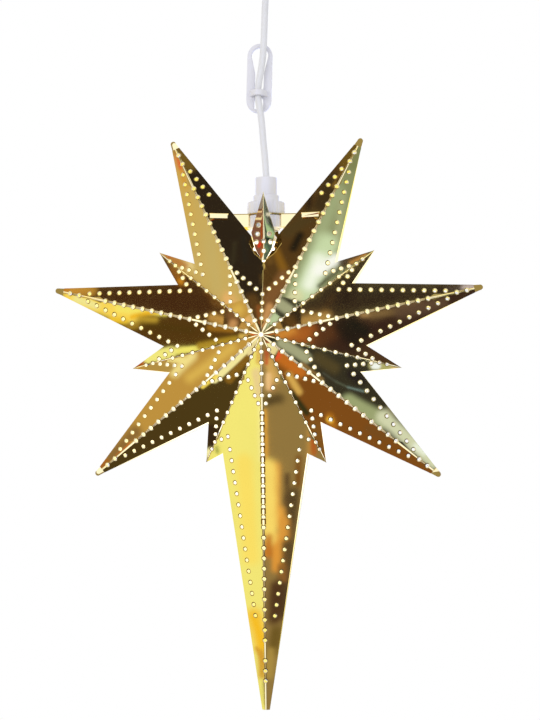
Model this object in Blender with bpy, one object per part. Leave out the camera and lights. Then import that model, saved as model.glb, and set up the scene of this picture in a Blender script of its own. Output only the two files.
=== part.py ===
"""Lit hanging star of folded, pierced brass sheet, with its lampholder, lamp, cord and ceiling rose.

Metres, +Z up. The origin is the middle of the rose's ceiling face, the star hangs below it and its
front faces -Y. Every moving piece has its origin on its own joint.
"""

from math import acos, asin, cos, pi, radians, sin

import bmesh
import bpy
from mathutils import Matrix, Vector
from mathutils.geometry import delaunay_2d_cdt

# Clearances and meshing
SEAT_GAP = 0.0003
OVERRUN = 0.002
WELD = 0.00001
ROUND_SIDES = 24
SMALL_SIDES = 16
SHARP_ANGLE = radians(35)

# Ceiling rose
ROSE_RADIUS = 0.040
ROSE_BASE_THICK = 0.004
ROSE_SCREW_SPREAD = 0.030
ROSE_SCREW_HOLE = 0.0023
ROSE_WIRE_HOLE = 0.007
ROSE_WIRE_HOLE_BACK = 0.024
ROSE_COVER_GAP = 0.0006
ROSE_COVER_WALL = 0.0018
ROSE_COVER_DEPTH = 0.050
ROSE_COVER_SHOULDER = 0.014
ROSE_COVER_LOWER_RADIUS = 0.030
ROSE_EXIT_RADIUS = 0.0090

# Hook, ring and clamp that carry the cord
HOOK_WIRE = 0.0015
HOOK_HALF_WIDTH = 0.0065
HOOK_DROP = 0.0095
HOOK_STRIP = (0.026, 0.010, 0.0015)
RING_WIRE = 0.00125
RING_RADIUS = 0.0065
CLAMP_TAB_HEIGHT = 0.0075
CLAMP_TAB_WIDTH = 0.0085
CLAMP_TAB_THICK = 0.003
CLAMP_EYE = 0.0025
CLAMP_BLOCK = (0.014, 0.012, 0.013)
CLAMP_ROOF = 0.0025
CLAMP_PORT_HEIGHT = 0.0055
CLAMP_PORT_WIDTH = 0.007
CLAMP_SCREW_RADIUS = 0.0017
CLAMP_SCREW_HEAD = 0.0012

# Terminal block
TERMINAL_BLOCK = (0.012, 0.022, 0.013)
TERMINAL_CENTRE_X = 0.024
TERMINAL_SPREAD = 0.0055
TERMINAL_SOCKET = 0.0034
TERMINAL_SOCKET_DEPTH = 0.006
TERMINAL_SCREW_RADIUS = 0.0019
TERMINAL_SCREW_HEAD = 0.0015

# Cord and its two cores
CORD_RADIUS = 0.00345
CORD_STEP = 0.009
CORE_RADIUS = 0.0011
CORE_SPREAD = 0.0016
CORE_INSERTION = 0.0024

# Height adjuster on the cord
ADJUSTER_HALF_WIDTH = 0.0131
ADJUSTER_HEIGHT = 0.073
ADJUSTER_THICK = 0.0036
ADJUSTER_RIM = 0.0042
ADJUSTER_EYE_LOW = 0.0420
ADJUSTER_THROAT = 0.0047
ADJUSTER_BRIDGE = 0.0058
ADJUSTER_BRIDGE_LOW = 0.0170
ADJUSTER_BRIDGE_BOW = 0.0116
ADJUSTER_BRIDGE_SPAN = 0.0075
ADJUSTER_LEAN = radians(1.5)

# Heights above the middle of the star, and the drop of that middle below the ceiling
STAR_DROP = 0.430
BRIDGE_TOP = 0.1268
HOLDER_MOUTH = 0.1110
LAMP_CONTACT_TOP = 0.1373

# Lampholder
CAP_RADIUS = 0.01125
CAP_HEIGHT = 0.0185
CAP_WALL = 0.0015
CAP_TOP_WALL = 0.0022
CAP_CHAMFER = 0.0008
GRIP_HEIGHT = 0.0060
GRIP_RADIUS = 0.0070
BODY_RADIUS = 0.0136
BODY_WALL = 0.0022
BODY_TOP = 0.1470
BODY_TOP_WALL = 0.0015
BODY_TOP_HOLE = 0.0080
RING_OUTER = 0.01945
RING_FLUTE_DEPTH = 0.0006
RING_FLUTES = 24
UPPER_RING_HEIGHT = 0.0130
LOWER_RING_HEIGHT = 0.0132
CARRIER_HEIGHT = 0.0055
CARRIER_WELL = 0.0030
SHELL_RADIUS = 0.0079
SHELL_WALL = 0.0005
SHELL_LIP = 0.0095
SHELL_LIP_HEIGHT = 0.0012
SHELL_LENGTH = 0.0205
CONTACT_STRIP = (0.0115, 0.0036, 0.0005)
HOLDER_SCREW_RADIUS = 0.0016
HOLDER_SCREW_HEIGHT = 0.0022
HOLDER_SCREW_SPREAD = 0.0033

# Brass bridge that carries the star on four tabs
BRIDGE_SHEET = 0.0008
BRIDGE_HALF_LENGTH = 0.0575
BRIDGE_HALF_DEPTH = 0.0130
BRIDGE_DISC = 0.0200
BRIDGE_FLANGE_DROP = 0.0136
BRIDGE_FLANGE_START = 0.0205
BRIDGE_FLANGE_END = 0.0360
TAB_CENTRE_X = 0.0472
TAB_HALF_WIDTH = 0.0088
TAB_FLAP_DROP = 0.0046
TAB_EAR = 0.0030
SLOT_HALF_WIDTH = 0.0094
SLOT_HEIGHT = 0.0018

# Star sheets: rays in the plane of the star, folds rising from it
RAY_COUNT = 7
SHEET = 0.0005
FOLD_RISE = 0.052
LONG_CUT = 0.219
LONG_CUT_HALF = 0.0039
LOWER_CUT = 0.381
LOWER_CUT_HALF = 0.0036
SHORT_RAY = 0.143
NOTCH_RADIUS = 0.1042
NOTCH_TURN = radians(7.65)
LOWER_NOTCH_RADIUS = 0.1267
LOWER_NOTCH_TURN = radians(5.84)
TONGUE_REACH = 0.0090
TONGUE_HALF = 0.0028
POINT_HEIGHT = 0.0700
POINT_HALF_WIDTH = 0.0122
POINT_CORNER_HEIGHT = 0.0280
POINT_LEAN = 0.0060
POINT_FOLD = 0.0035
SLIT_BOTTOM = 0.0770
SLIT_HINGE_HALF = 0.0026
SLIT_MIDDLE_X = 0.0093
SLIT_MIDDLE_RISE = 0.0120

# Rows of pierced holes
HOLE_RADIUS = 0.0021
HOLE_SIDES = 4
LONG_ROW_PITCH = 0.0104
LONG_ROW_START = 0.0139
LONG_ROW_INSET = 0.0060
LONG_ROW_HOLES = 12
LOWER_ROW_PITCH = 0.0115
LOWER_ROW_START = 0.0170
LOWER_ROW_INSET = 0.0082
LOWER_ROW_HOLES = 17
HOLE_TO_FOLD = 0.0014
ROW_CLEAR_OF_SLOT = 0.0090

# Lamp
LAMP_PITCH = 0.00282
LAMP_THREADS = 5
LAMP_THREAD_START_SHARE = 0.75
LAMP_THREAD_DEPTH = 0.0005
LAMP_CAP_RADIUS = 0.0069
LAMP_CAP_LENGTH = 0.0205
LAMP_CAP_WALL = 0.0006
LAMP_INSULATOR_HEIGHT = 0.0016
LAMP_INSULATOR_RADIUS = 0.0058
LAMP_CONTACT_RADIUS = 0.0030
LAMP_CONTACT_TIP_RADIUS = 0.0018
LAMP_CONTACT_HEIGHT = 0.0010
COLLAR_NECK = 0.0078
COLLAR_RADIUS = 0.0142
COLLAR_HEIGHT = 0.0175
COLLAR_NECK_HEIGHT = 0.0052
COLLAR_FLARE_RADIUS = 0.0122
COLLAR_FLARE_HEIGHT = 0.0114
COLLAR_SPIGOT = 0.0128
COLLAR_SPIGOT_HEIGHT = 0.0024
COLLAR_WALL = 0.0016
GLOBE_RADIUS = 0.0215
GLOBE_WALL = 0.0012
GLOBE_LENGTH = 0.0400
BOARD_RADIUS = 0.0110
BOARD_THICK = 0.0010
CHIP = (0.0030, 0.0030, 0.0007)
CHIP_RING = 0.0065
CHIP_COUNT = 6

# Heights that follow from the sizes above, in the part's own frame
STAR_Z = -STAR_DROP
HOOK_WIRE_Z = -(ROSE_BASE_THICK + SEAT_GAP + HOOK_DROP)
RING_CENTRE_Z = HOOK_WIRE_Z + HOOK_WIRE + SEAT_GAP + RING_WIRE - RING_RADIUS
RING_BOTTOM_Z = RING_CENTRE_Z - RING_RADIUS
CLAMP_TOP_Z = RING_BOTTOM_Z + RING_WIRE + SEAT_GAP - CLAMP_EYE + CLAMP_TAB_WIDTH / 2 - CLAMP_TAB_HEIGHT
CLAMP_BOTTOM_Z = CLAMP_TOP_Z - CLAMP_BLOCK[2]
CORD_TOP_Z = CLAMP_TOP_Z - CLAMP_ROOF - CLAMP_PORT_HEIGHT
BRIDGE_TOP_Z = STAR_Z + BRIDGE_TOP
BODY_TOP_Z = STAR_Z + BODY_TOP
CAP_BASE_Z = BODY_TOP_Z + SEAT_GAP
CAP_TOP_Z = CAP_BASE_Z + CAP_HEIGHT
GRIP_TOP_Z = CAP_TOP_Z - CAP_TOP_WALL - SEAT_GAP
CORD_END_Z = GRIP_TOP_Z - GRIP_HEIGHT
BODY_BORE = BODY_RADIUS - BODY_WALL
CARRIER_TOP_Z = BODY_TOP_Z - BODY_TOP_WALL - SEAT_GAP
CARRIER_BOTTOM_Z = CARRIER_TOP_Z - CARRIER_HEIGHT
SHELL_TOP_Z = CARRIER_BOTTOM_Z - SEAT_GAP
LAMP_CONTACT_Z = STAR_Z + LAMP_CONTACT_TOP
LAMP_CAP_TOP_Z = LAMP_CONTACT_Z - LAMP_CONTACT_HEIGHT - LAMP_INSULATOR_HEIGHT - 2 * SEAT_GAP
LAMP_CAP_BASE_Z = LAMP_CAP_TOP_Z - LAMP_CAP_LENGTH
COLLAR_TOP_Z = LAMP_CAP_BASE_Z - SEAT_GAP
COLLAR_BASE_Z = COLLAR_TOP_Z - COLLAR_HEIGHT

# Route of the cord from the clamp to the cap: sideways, forwards (-Y) and height above the star
CORD_WAYPOINTS = (
    (0.0000, 0.0000, 0.3750),
    (-0.0006, 0.0000, 0.3600),
    (-0.0014, -0.0004, 0.3400),
    (-0.0020, -0.0008, 0.3200),
    (-0.0026, -0.0010, 0.3050),
    (-0.0037, -0.0010, 0.2900),
    (-0.0055, -0.0010, 0.2780),
    (-0.0074, -0.0010, 0.2670),
    (-0.0084, -0.0010, 0.2580),
    (-0.0083, -0.0010, 0.2500),
    (-0.0074, -0.0010, 0.2430),
    (-0.0062, -0.0010, 0.2360),
    (-0.0050, -0.0010, 0.2280),
    (-0.0038, -0.0008, 0.2150),
    (-0.0026, -0.0005, 0.2000),
    (-0.0013, -0.0002, 0.1870),
)
ADJUSTER_BASE = (-0.0085, 0.0048, 0.2348)
CORE_BEND_OUT = 0.0070
CORE_LOW_RISE = 0.0035


class Finish:
    """A named surface colour with its roughness and how metallic it is."""

    def __init__(self, name, colour, roughness, metallic=0.0):
        self.material = bpy.data.materials.new(name)
        self.material.use_nodes = True
        shader = self.material.node_tree.nodes["Principled BSDF"]
        shader.inputs["Base Color"].default_value = (*colour, 1.0)
        shader.inputs["Roughness"].default_value = roughness
        shader.inputs["Metallic"].default_value = metallic


def clear_scene():
    """Removes what the scene holds before the part is made."""
    for old in list(bpy.data.objects):
        bpy.data.objects.remove(old, do_unlink=True)


def place(mesh, name, finish, origin=(0.0, 0.0, 0.0)):
    """Makes the named object of a mesh given in part coordinates, with its origin moved to a joint."""
    shift = Vector(origin)
    mesh.transform(Matrix.Translation(-shift))
    mesh.materials.append(finish.material)
    mesh.shade_smooth()
    mesh.set_sharp_from_angle(angle=SHARP_ANGLE)
    made = bpy.data.objects.new(name, mesh)
    made.location = shift
    bpy.context.collection.objects.link(made)
    return made


def mesh_of(work, name):
    """Turns a bmesh into a mesh with its faces pointing out."""
    bmesh.ops.recalc_face_normals(work, faces=work.faces)
    mesh = bpy.data.meshes.new(name)
    work.to_mesh(mesh)
    work.free()
    return mesh


def turned(profile, sides=ROUND_SIDES):
    """Spins a closed outline of (radius, height) points about Z."""
    work = bmesh.new()
    points = [work.verts.new((radius, 0.0, height)) for radius, height in profile]
    edges = [work.edges.new((a, b)) for a, b in zip(points, points[1:])]
    if profile[0][0] > 0 or profile[-1][0] > 0:
        edges.append(work.edges.new((points[-1], points[0])))
    bmesh.ops.spin(
        work, geom=points + edges, cent=(0, 0, 0), axis=(0, 0, 1), dvec=(0, 0, 0),
        angle=2 * pi, steps=sides, use_merge=True, use_duplicate=False,
    )
    bmesh.ops.remove_doubles(work, verts=work.verts, dist=WELD)
    return work


def tube_profile(inner, outer, low, high):
    """The outline of a plain tube."""
    return [(inner, low), (outer, low), (outer, high), (inner, high)]


def slab(outline, low, high):
    """Extrudes an outline of (x, y) points from one height to another."""
    work = bmesh.new()
    face = work.faces.new([work.verts.new((x, y, low)) for x, y in outline])
    grown = bmesh.ops.extrude_face_region(work, geom=[face])
    tops = [item for item in grown["geom"] if isinstance(item, bmesh.types.BMVert)]
    bmesh.ops.translate(work, verts=tops, vec=(0, 0, high - low))
    return work


def box(centre, size):
    """A rectangular block."""
    work = bmesh.new()
    bmesh.ops.create_cube(work, size=1.0)
    bmesh.ops.scale(work, verts=work.verts, vec=size)
    bmesh.ops.translate(work, verts=work.verts, vec=centre)
    return work


def prism(first, second):
    """A closed solid between two matching outlines."""
    work = bmesh.new()
    a = [work.verts.new(point) for point in first]
    b = [work.verts.new(point) for point in second]
    work.faces.new(a)
    work.faces.new(b)
    for k in range(len(a)):
        after = (k + 1) % len(a)
        work.faces.new((a[k], a[after], b[after], b[k]))
    return work


def rod(centre, radius, length, axis="Z", sides=SMALL_SIDES):
    """A round bar along one axis."""
    work = bmesh.new()
    bmesh.ops.create_cone(work, cap_ends=True, segments=sides, radius1=radius, radius2=radius, depth=length)
    if axis != "Z":
        quarter_turn = Matrix.Rotation(pi / 2, 3, "Y" if axis == "X" else "X")
        bmesh.ops.rotate(work, verts=work.verts, matrix=quarter_turn)
    bmesh.ops.translate(work, verts=work.verts, vec=centre)
    return work


def cut_away(target, works, operation="DIFFERENCE"):
    """Adds a Boolean modifier for each hidden cutter or joined body."""
    for number, work in enumerate(works):
        cutter = bpy.data.objects.new(f"{target.name}_{operation}_{number}", mesh_of(work, "tool"))
        cutter.hide_render = True
        cutter.display_type = "WIRE"
        bpy.context.collection.objects.link(cutter)
        cut = target.modifiers.new(cutter.name, "BOOLEAN")
        cut.operation = operation
        cut.solver = "EXACT"
        cut.object = cutter


def smooth_route(points, step):
    """Points at an even step along a smooth curve through the waypoints."""
    route = [Vector(point) for point in points]
    padded = [2 * route[0] - route[1]] + route + [2 * route[-1] - route[-2]]
    fine = []
    for a, b, c, d in zip(padded, padded[1:], padded[2:], padded[3:]):
        for part in range(12):
            t = part / 12
            bend = (2 * a - 5 * b + 4 * c - d) * t**2 + (3 * b - a - 3 * c + d) * t**3
            fine.append(0.5 * (2 * b + (c - a) * t + bend))
    fine.append(route[-1])
    lengths = [0.0]
    for a, b in zip(fine, fine[1:]):
        lengths.append(lengths[-1] + (b - a).length)
    count = max(2, round(lengths[-1] / step))
    even, at = [], 0
    for number in range(count):
        wanted = lengths[-1] * number / count
        while lengths[at + 1] < wanted:
            at += 1
        share = (wanted - lengths[at]) / (lengths[at + 1] - lengths[at])
        even.append(fine[at].lerp(fine[at + 1], share))
    return even + [route[-1]]


def tube_along(points, radius, name, finish, resolution=2):
    """A round tube with closed ends along a list of points, as a curve object."""
    curve = bpy.data.curves.new(name, "CURVE")
    curve.dimensions = "3D"
    curve.bevel_depth = radius
    curve.bevel_resolution = resolution
    curve.use_fill_caps = True
    spline = curve.splines.new("POLY")
    spline.points.add(len(points) - 1)
    for target, point in zip(spline.points, points):
        target.co = (*point, 1.0)
    curve.materials.append(finish.material)
    made = bpy.data.objects.new(name, curve)
    bpy.context.collection.objects.link(made)
    return made


def swept(points, radius, closed=False, sides=SMALL_SIDES // 2):
    """A bmesh tube of round section along points that lie in one plane with the given ones."""
    work = bmesh.new()
    count = len(points)
    rings = []
    start = Vector(points[0])
    normal = (Vector(points[1]) - start).cross(Vector(points[count // 2]) - start).normalized()
    for number, point in enumerate(points):
        before = Vector(points[number - 1] if number or closed else point)
        after = Vector(points[(number + 1) % count] if number < count - 1 or closed else point)
        along = (after - before).normalized()
        across = along.cross(normal)
        ring = []
        for k in range(sides):
            turn = 2 * pi * k / sides
            ring.append(work.verts.new(Vector(point) + radius * (cos(turn) * across + sin(turn) * normal)))
        rings.append(ring)
    pairs = list(zip(rings, rings[1:])) + ([(rings[-1], rings[0])] if closed else [])
    for first, second in pairs:
        for k in range(sides):
            work.faces.new((first[k], first[(k + 1) % sides], second[(k + 1) % sides], second[k]))
    if not closed:
        work.faces.new(rings[0])
        work.faces.new(rings[-1])
    return work


def build_rose(plastic, steel, brass):
    """Base plate on the ceiling, sliding cover, terminal block and its screws."""
    base = turned([(0, -ROSE_BASE_THICK), (ROSE_RADIUS, -ROSE_BASE_THICK), (ROSE_RADIUS, 0), (0, 0)])
    plate = place(mesh_of(base, "ceiling_rose_base"), "ceiling_rose_base", plastic)
    depth = ROSE_BASE_THICK + 2 * OVERRUN
    middle = -ROSE_BASE_THICK / 2
    holes = [rod((side * ROSE_SCREW_SPREAD, 0, middle), ROSE_SCREW_HOLE, depth) for side in (-1, 1)]
    holes.append(rod((0, ROSE_WIRE_HOLE_BACK, middle), ROSE_WIRE_HOLE, depth))
    cut_away(plate, holes)

    inner = ROSE_RADIUS + ROSE_COVER_GAP
    outer = inner + ROSE_COVER_WALL
    floor = -ROSE_COVER_DEPTH
    shoulder = floor + ROSE_COVER_SHOULDER
    wall = ROSE_COVER_WALL
    cover = turned([
        (inner, -SEAT_GAP), (outer, -SEAT_GAP), (outer, shoulder), (outer - wall, shoulder - wall * 2),
        (ROSE_COVER_LOWER_RADIUS + wall, floor + wall), (ROSE_COVER_LOWER_RADIUS, floor),
        (ROSE_EXIT_RADIUS, floor), (ROSE_EXIT_RADIUS, floor + wall),
        (ROSE_COVER_LOWER_RADIUS - wall, floor + wall * 2), (inner - wall, shoulder - wall),
        (inner, shoulder),
    ])
    place(mesh_of(cover, "ceiling_rose_cover"), "ceiling_rose_cover", plastic, (0, 0, floor))

    width, length, height = TERMINAL_BLOCK
    top = -ROSE_BASE_THICK - SEAT_GAP
    block = place(
        mesh_of(box((TERMINAL_CENTRE_X, 0, top - height / 2), (width, length, height)), "terminal_block"),
        "terminal_block", plastic,
    )
    low = top - height
    cut_away(block, [
        rod((TERMINAL_CENTRE_X, side * TERMINAL_SPREAD, low), TERMINAL_SOCKET, 2 * TERMINAL_SOCKET_DEPTH)
        for side in (-1, 1)
    ])
    face = TERMINAL_CENTRE_X + width / 2 + SEAT_GAP
    for side, wire in ((-1, "live"), (1, "neutral")):
        centre = (face + TERMINAL_SCREW_HEAD / 2, side * TERMINAL_SPREAD, low + height / 3)
        head = rod(centre, TERMINAL_SCREW_RADIUS, TERMINAL_SCREW_HEAD, "X")
        name = f"terminal_screw_{wire}"
        place(mesh_of(head, name), name, brass)


def build_suspension(plastic, steel):
    """Hook under the base, the ring that swings on it, and the clamp that swings on the ring."""
    strip_z = HOOK_STRIP[2]
    strip_top = -ROSE_BASE_THICK - SEAT_GAP
    strip = box((0, 0, strip_top - strip_z / 2), HOOK_STRIP)
    hook = place(mesh_of(strip, "suspension_hook"), "suspension_hook", steel)
    reach = HOOK_HALF_WIDTH
    turn_z = HOOK_WIRE_Z + reach
    top = (-reach, 0, strip_top - strip_z / 2)
    bend = [(-reach * cos(pi * k / 10), 0, turn_z - reach * sin(pi * k / 10)) for k in range(11)]
    cut_away(hook, [swept([top, *bend, (reach, 0, top[2])], HOOK_WIRE)], "UNION")

    circle = [
        (0, RING_RADIUS * cos(2 * pi * k / 20), RING_CENTRE_Z + RING_RADIUS * sin(2 * pi * k / 20))
        for k in range(20)
    ]
    place(
        mesh_of(swept(circle, RING_WIRE, closed=True), "suspension_ring"), "suspension_ring", steel,
        (0, 0, HOOK_WIRE_Z),
    )

    pivot = (0, 0, RING_BOTTOM_Z)
    eye_z = RING_BOTTOM_Z + RING_WIRE + SEAT_GAP - CLAMP_EYE
    block_x, block_y, block_z = CLAMP_BLOCK
    block = box((0, 0, CLAMP_TOP_Z - block_z / 2), CLAMP_BLOCK)
    clamp = place(mesh_of(block, "cord_clamp"), "cord_clamp", plastic, pivot)
    arch = CLAMP_TAB_WIDTH / 2
    outline = [(-arch, CLAMP_TOP_Z - OVERRUN / 2), (arch, CLAMP_TOP_Z - OVERRUN / 2)]
    outline += [(arch * cos(pi * k / 10), eye_z + arch * sin(pi * k / 10)) for k in range(11)]
    tab = slab(outline, -CLAMP_TAB_THICK / 2, CLAMP_TAB_THICK / 2)
    bmesh.ops.rotate(tab, verts=tab.verts, matrix=Matrix.Rotation(pi / 2, 3, "X"))
    cut_away(clamp, [tab], "UNION")
    bore_top = CLAMP_TOP_Z - CLAMP_ROOF
    bore_low = CLAMP_BOTTOM_Z - OVERRUN
    port_z = bore_top - CLAMP_PORT_HEIGHT / 2
    cut_away(clamp, [
        rod((0, 0, eye_z), CLAMP_EYE, CLAMP_TAB_THICK + OVERRUN, "Y"),
        rod((0, 0, (bore_top + bore_low) / 2), CORD_RADIUS + SEAT_GAP, bore_top - bore_low),
        box((block_x / 2, 0, port_z), (block_x, CLAMP_PORT_WIDTH, CLAMP_PORT_HEIGHT)),
    ])
    screw_z = CLAMP_BOTTOM_Z + CLAMP_SCREW_RADIUS * 2
    face = -block_y / 2 - SEAT_GAP
    screw = rod((0, face - CLAMP_SCREW_HEAD / 2, screw_z), CLAMP_SCREW_RADIUS, CLAMP_SCREW_HEAD, "Y")
    place(mesh_of(screw, "clamp_screw"), "clamp_screw", steel, pivot)


def build_cord(plastic, copper):
    """The cord from clamp to cap, its two cores in the rose and the height adjuster on it."""
    route = [(0, 0, CORD_TOP_Z), (0, 0, CLAMP_BOTTOM_Z)]
    route += [(x, y, STAR_Z + z) for x, y, z in CORD_WAYPOINTS]
    route += [(0, 0, CAP_TOP_Z), (0, 0, CORD_END_Z)]
    tube_along(smooth_route(route, CORD_STEP), CORD_RADIUS, "cord", plastic)

    socket_z = -ROSE_BASE_THICK - SEAT_GAP - TERMINAL_BLOCK[2] + CORE_INSERTION
    for side, wire in ((-1, "live"), (1, "neutral")):
        start = Vector((0, side * CORE_SPREAD, CORD_TOP_Z + SEAT_GAP))
        low_z = CORD_TOP_Z + CORE_LOW_RISE
        way = [
            start,
            start + Vector((0, 0, CORE_RADIUS + CORE_SPREAD / 2)),
            Vector((CORE_BEND_OUT, side * CORE_SPREAD, low_z)),
            Vector(((CORE_BEND_OUT + TERMINAL_CENTRE_X) / 2, side * CORE_SPREAD * 2, low_z)),
            Vector((TERMINAL_CENTRE_X, side * TERMINAL_SPREAD, socket_z - TERMINAL_SOCKET)),
            Vector((TERMINAL_CENTRE_X, side * TERMINAL_SPREAD, socket_z)),
        ]
        tube_along(smooth_route(way, CORE_RADIUS * 2), CORE_RADIUS, f"cord_core_{wire}", copper)


def arc(centre, radius, start, end, steps):
    """Points along a circular arc, as (x, y)."""
    return [
        (centre[0] + radius * cos(start + (end - start) * k / steps),
         centre[1] + radius * sin(start + (end - start) * k / steps))
        for k in range(steps + 1)
    ]


def build_adjuster(plastic):
    """Flat rounded plate on the cord: two eyes, and between them a bridge that bows over the cord."""
    width = ADJUSTER_HALF_WIDTH
    half = ADJUSTER_THICK / 2
    inner = width - ADJUSTER_RIM
    throat = ADJUSTER_THROAT
    bridge_high = ADJUSTER_BRIDGE_LOW + ADJUSTER_BRIDGE
    plate = arc((0, width), width, pi, 2 * pi, 10) + arc((0, ADJUSTER_HEIGHT - width), width, 0, pi, 10)
    upper_eye = arc((0, ADJUSTER_HEIGHT - ADJUSTER_RIM - inner), inner, 0, pi, 8)
    upper_eye += [(-throat, ADJUSTER_EYE_LOW)] + arc((0, bridge_high + throat), throat, pi, 2 * pi, 4)
    upper_eye += [(throat, ADJUSTER_EYE_LOW)]
    lower_eye = arc((0, ADJUSTER_BRIDGE_LOW - throat), throat, 0, pi, 4)
    lower_eye += [(-throat, ADJUSTER_RIM), (throat, ADJUSTER_RIM)]
    placed = Matrix.Translation(Vector(ADJUSTER_BASE) + Vector((0, 0, STAR_Z)))
    placed = placed @ Matrix.Rotation(ADJUSTER_LEAN, 4, "Y")
    upright = placed @ Matrix.Rotation(pi / 2, 4, "X")
    work = slab(plate, -half, half)
    eyes = [slab(outline, -half - OVERRUN, half + OVERRUN) for outline in (upper_eye, lower_eye)]
    for piece in (work, *eyes):
        bmesh.ops.transform(piece, matrix=upright, verts=piece.verts)
    made = place(mesh_of(work, "cord_adjuster"), "cord_adjuster", plastic)
    cut_away(made, eyes)

    span, bow = ADJUSTER_BRIDGE_SPAN, ADJUSTER_BRIDGE_BOW
    steps = 10
    turns = [pi * k / steps for k in range(steps + 1)]
    outline = [((span + half) * cos(turn), -(bow + half) * sin(turn)) for turn in turns]
    outline += [((span - half) * cos(turn), -(bow - half) * sin(turn)) for turn in reversed(turns)]
    bridge = slab(outline, ADJUSTER_BRIDGE_LOW, bridge_high)
    bmesh.ops.transform(bridge, matrix=placed, verts=bridge.verts)
    cut_away(made, [bridge], "UNION")


def fluted_ring(low, high, bore, name, plastic):
    """Shade ring: a turned nut with upright flutes for the fingers."""
    count = RING_FLUTES * 2
    work = bmesh.new()
    loops = []
    corners = ((bore, 0, low), (RING_OUTER, 1, low), (RING_OUTER, 1, high), (bore, 0, high))
    for radius, fluted, height in corners:
        loop = []
        for k in range(count):
            reach = radius - RING_FLUTE_DEPTH * fluted * (k % 2)
            angle = 2 * pi * k / count
            loop.append(work.verts.new((reach * cos(angle), reach * sin(angle), height)))
        loops.append(loop)
    for first, second in zip(loops, loops[1:] + loops[:1]):
        for k in range(count):
            work.faces.new((first[k], first[(k + 1) % count], second[(k + 1) % count], second[k]))
    place(mesh_of(work, name), name, plastic)


def build_lampholder(plastic, brass, steel):
    """Cap with cord grip, body, contact carrier, screw shell, contact, terminal screws and shade rings."""
    chamfer = CAP_CHAMFER
    inner = CAP_RADIUS - CAP_WALL
    hole = CORD_RADIUS + SEAT_GAP
    cap = turned([
        (inner, CAP_BASE_Z), (CAP_RADIUS, CAP_BASE_Z), (CAP_RADIUS, CAP_TOP_Z - chamfer),
        (CAP_RADIUS - chamfer, CAP_TOP_Z), (hole, CAP_TOP_Z), (hole, CAP_TOP_Z - CAP_TOP_WALL),
        (inner, CAP_TOP_Z - CAP_TOP_WALL),
    ])
    place(mesh_of(cap, "lampholder_cap"), "lampholder_cap", plastic)
    grip = turned(tube_profile(hole, GRIP_RADIUS, GRIP_TOP_Z - GRIP_HEIGHT, GRIP_TOP_Z), SMALL_SIDES)
    place(mesh_of(grip, "cap_cord_grip"), "cap_cord_grip", plastic)

    mouth = STAR_Z + HOLDER_MOUTH
    body = turned([
        (BODY_BORE, mouth), (BODY_RADIUS, mouth), (BODY_RADIUS, BODY_TOP_Z), (BODY_TOP_HOLE, BODY_TOP_Z),
        (BODY_TOP_HOLE, BODY_TOP_Z - BODY_TOP_WALL), (BODY_BORE, BODY_TOP_Z - BODY_TOP_WALL),
    ])
    place(mesh_of(body, "lampholder_body"), "lampholder_body", plastic)

    seat = BODY_BORE - SEAT_GAP
    carrier = turned([
        (0, CARRIER_BOTTOM_Z), (seat, CARRIER_BOTTOM_Z), (seat, CARRIER_TOP_Z),
        (BODY_TOP_HOLE, CARRIER_TOP_Z), (BODY_TOP_HOLE - CARRIER_WELL / 3, CARRIER_TOP_Z - CARRIER_WELL),
        (0, CARRIER_TOP_Z - CARRIER_WELL),
    ], SMALL_SIDES)
    place(mesh_of(carrier, "contact_carrier"), "contact_carrier", plastic)

    shell = turned([
        (SHELL_RADIUS - SHELL_WALL, SHELL_TOP_Z - SHELL_LENGTH), (SHELL_RADIUS, SHELL_TOP_Z - SHELL_LENGTH),
        (SHELL_RADIUS, SHELL_TOP_Z - SHELL_LIP_HEIGHT), (SHELL_LIP, SHELL_TOP_Z - SHELL_LIP_HEIGHT),
        (SHELL_LIP, SHELL_TOP_Z), (SHELL_RADIUS - SHELL_WALL, SHELL_TOP_Z),
    ], 2 * SMALL_SIDES)
    place(mesh_of(shell, "screw_shell"), "screw_shell", brass)

    strip_x, strip_y, strip_z = CONTACT_STRIP
    under = CARRIER_BOTTOM_Z - SEAT_GAP
    tip_z = LAMP_CONTACT_Z + SEAT_GAP
    strip = slab([
        (-strip_x / 2, under - strip_z), (-strip_x / 4, under - strip_z), (0, tip_z), (strip_x / 4, tip_z),
        (strip_x / 4, tip_z + strip_z), (0, tip_z + strip_z), (-strip_x / 4, under), (-strip_x / 2, under),
    ], -strip_y / 2, strip_y / 2)
    bmesh.ops.rotate(strip, verts=strip.verts, matrix=Matrix.Rotation(pi / 2, 3, "X"))
    place(mesh_of(strip, "centre_contact"), "centre_contact", brass)

    floor = CARRIER_TOP_Z - CARRIER_WELL + SEAT_GAP
    for side, wire in ((-1, "live"), (1, "neutral")):
        centre = (0, side * HOLDER_SCREW_SPREAD, floor + HOLDER_SCREW_HEIGHT / 2)
        name = f"holder_screw_{wire}"
        screw = rod(centre, HOLDER_SCREW_RADIUS, HOLDER_SCREW_HEIGHT, sides=SMALL_SIDES // 2)
        place(mesh_of(screw, name), name, steel)

    bore = BODY_RADIUS + SEAT_GAP
    upper_low = BRIDGE_TOP_Z + SEAT_GAP
    lower_high = BRIDGE_TOP_Z - BRIDGE_SHEET - SEAT_GAP
    fluted_ring(upper_low, upper_low + UPPER_RING_HEIGHT, bore, "upper_shade_ring", plastic)
    fluted_ring(lower_high - LOWER_RING_HEIGHT, lower_high, bore, "lower_shade_ring", plastic)


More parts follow.
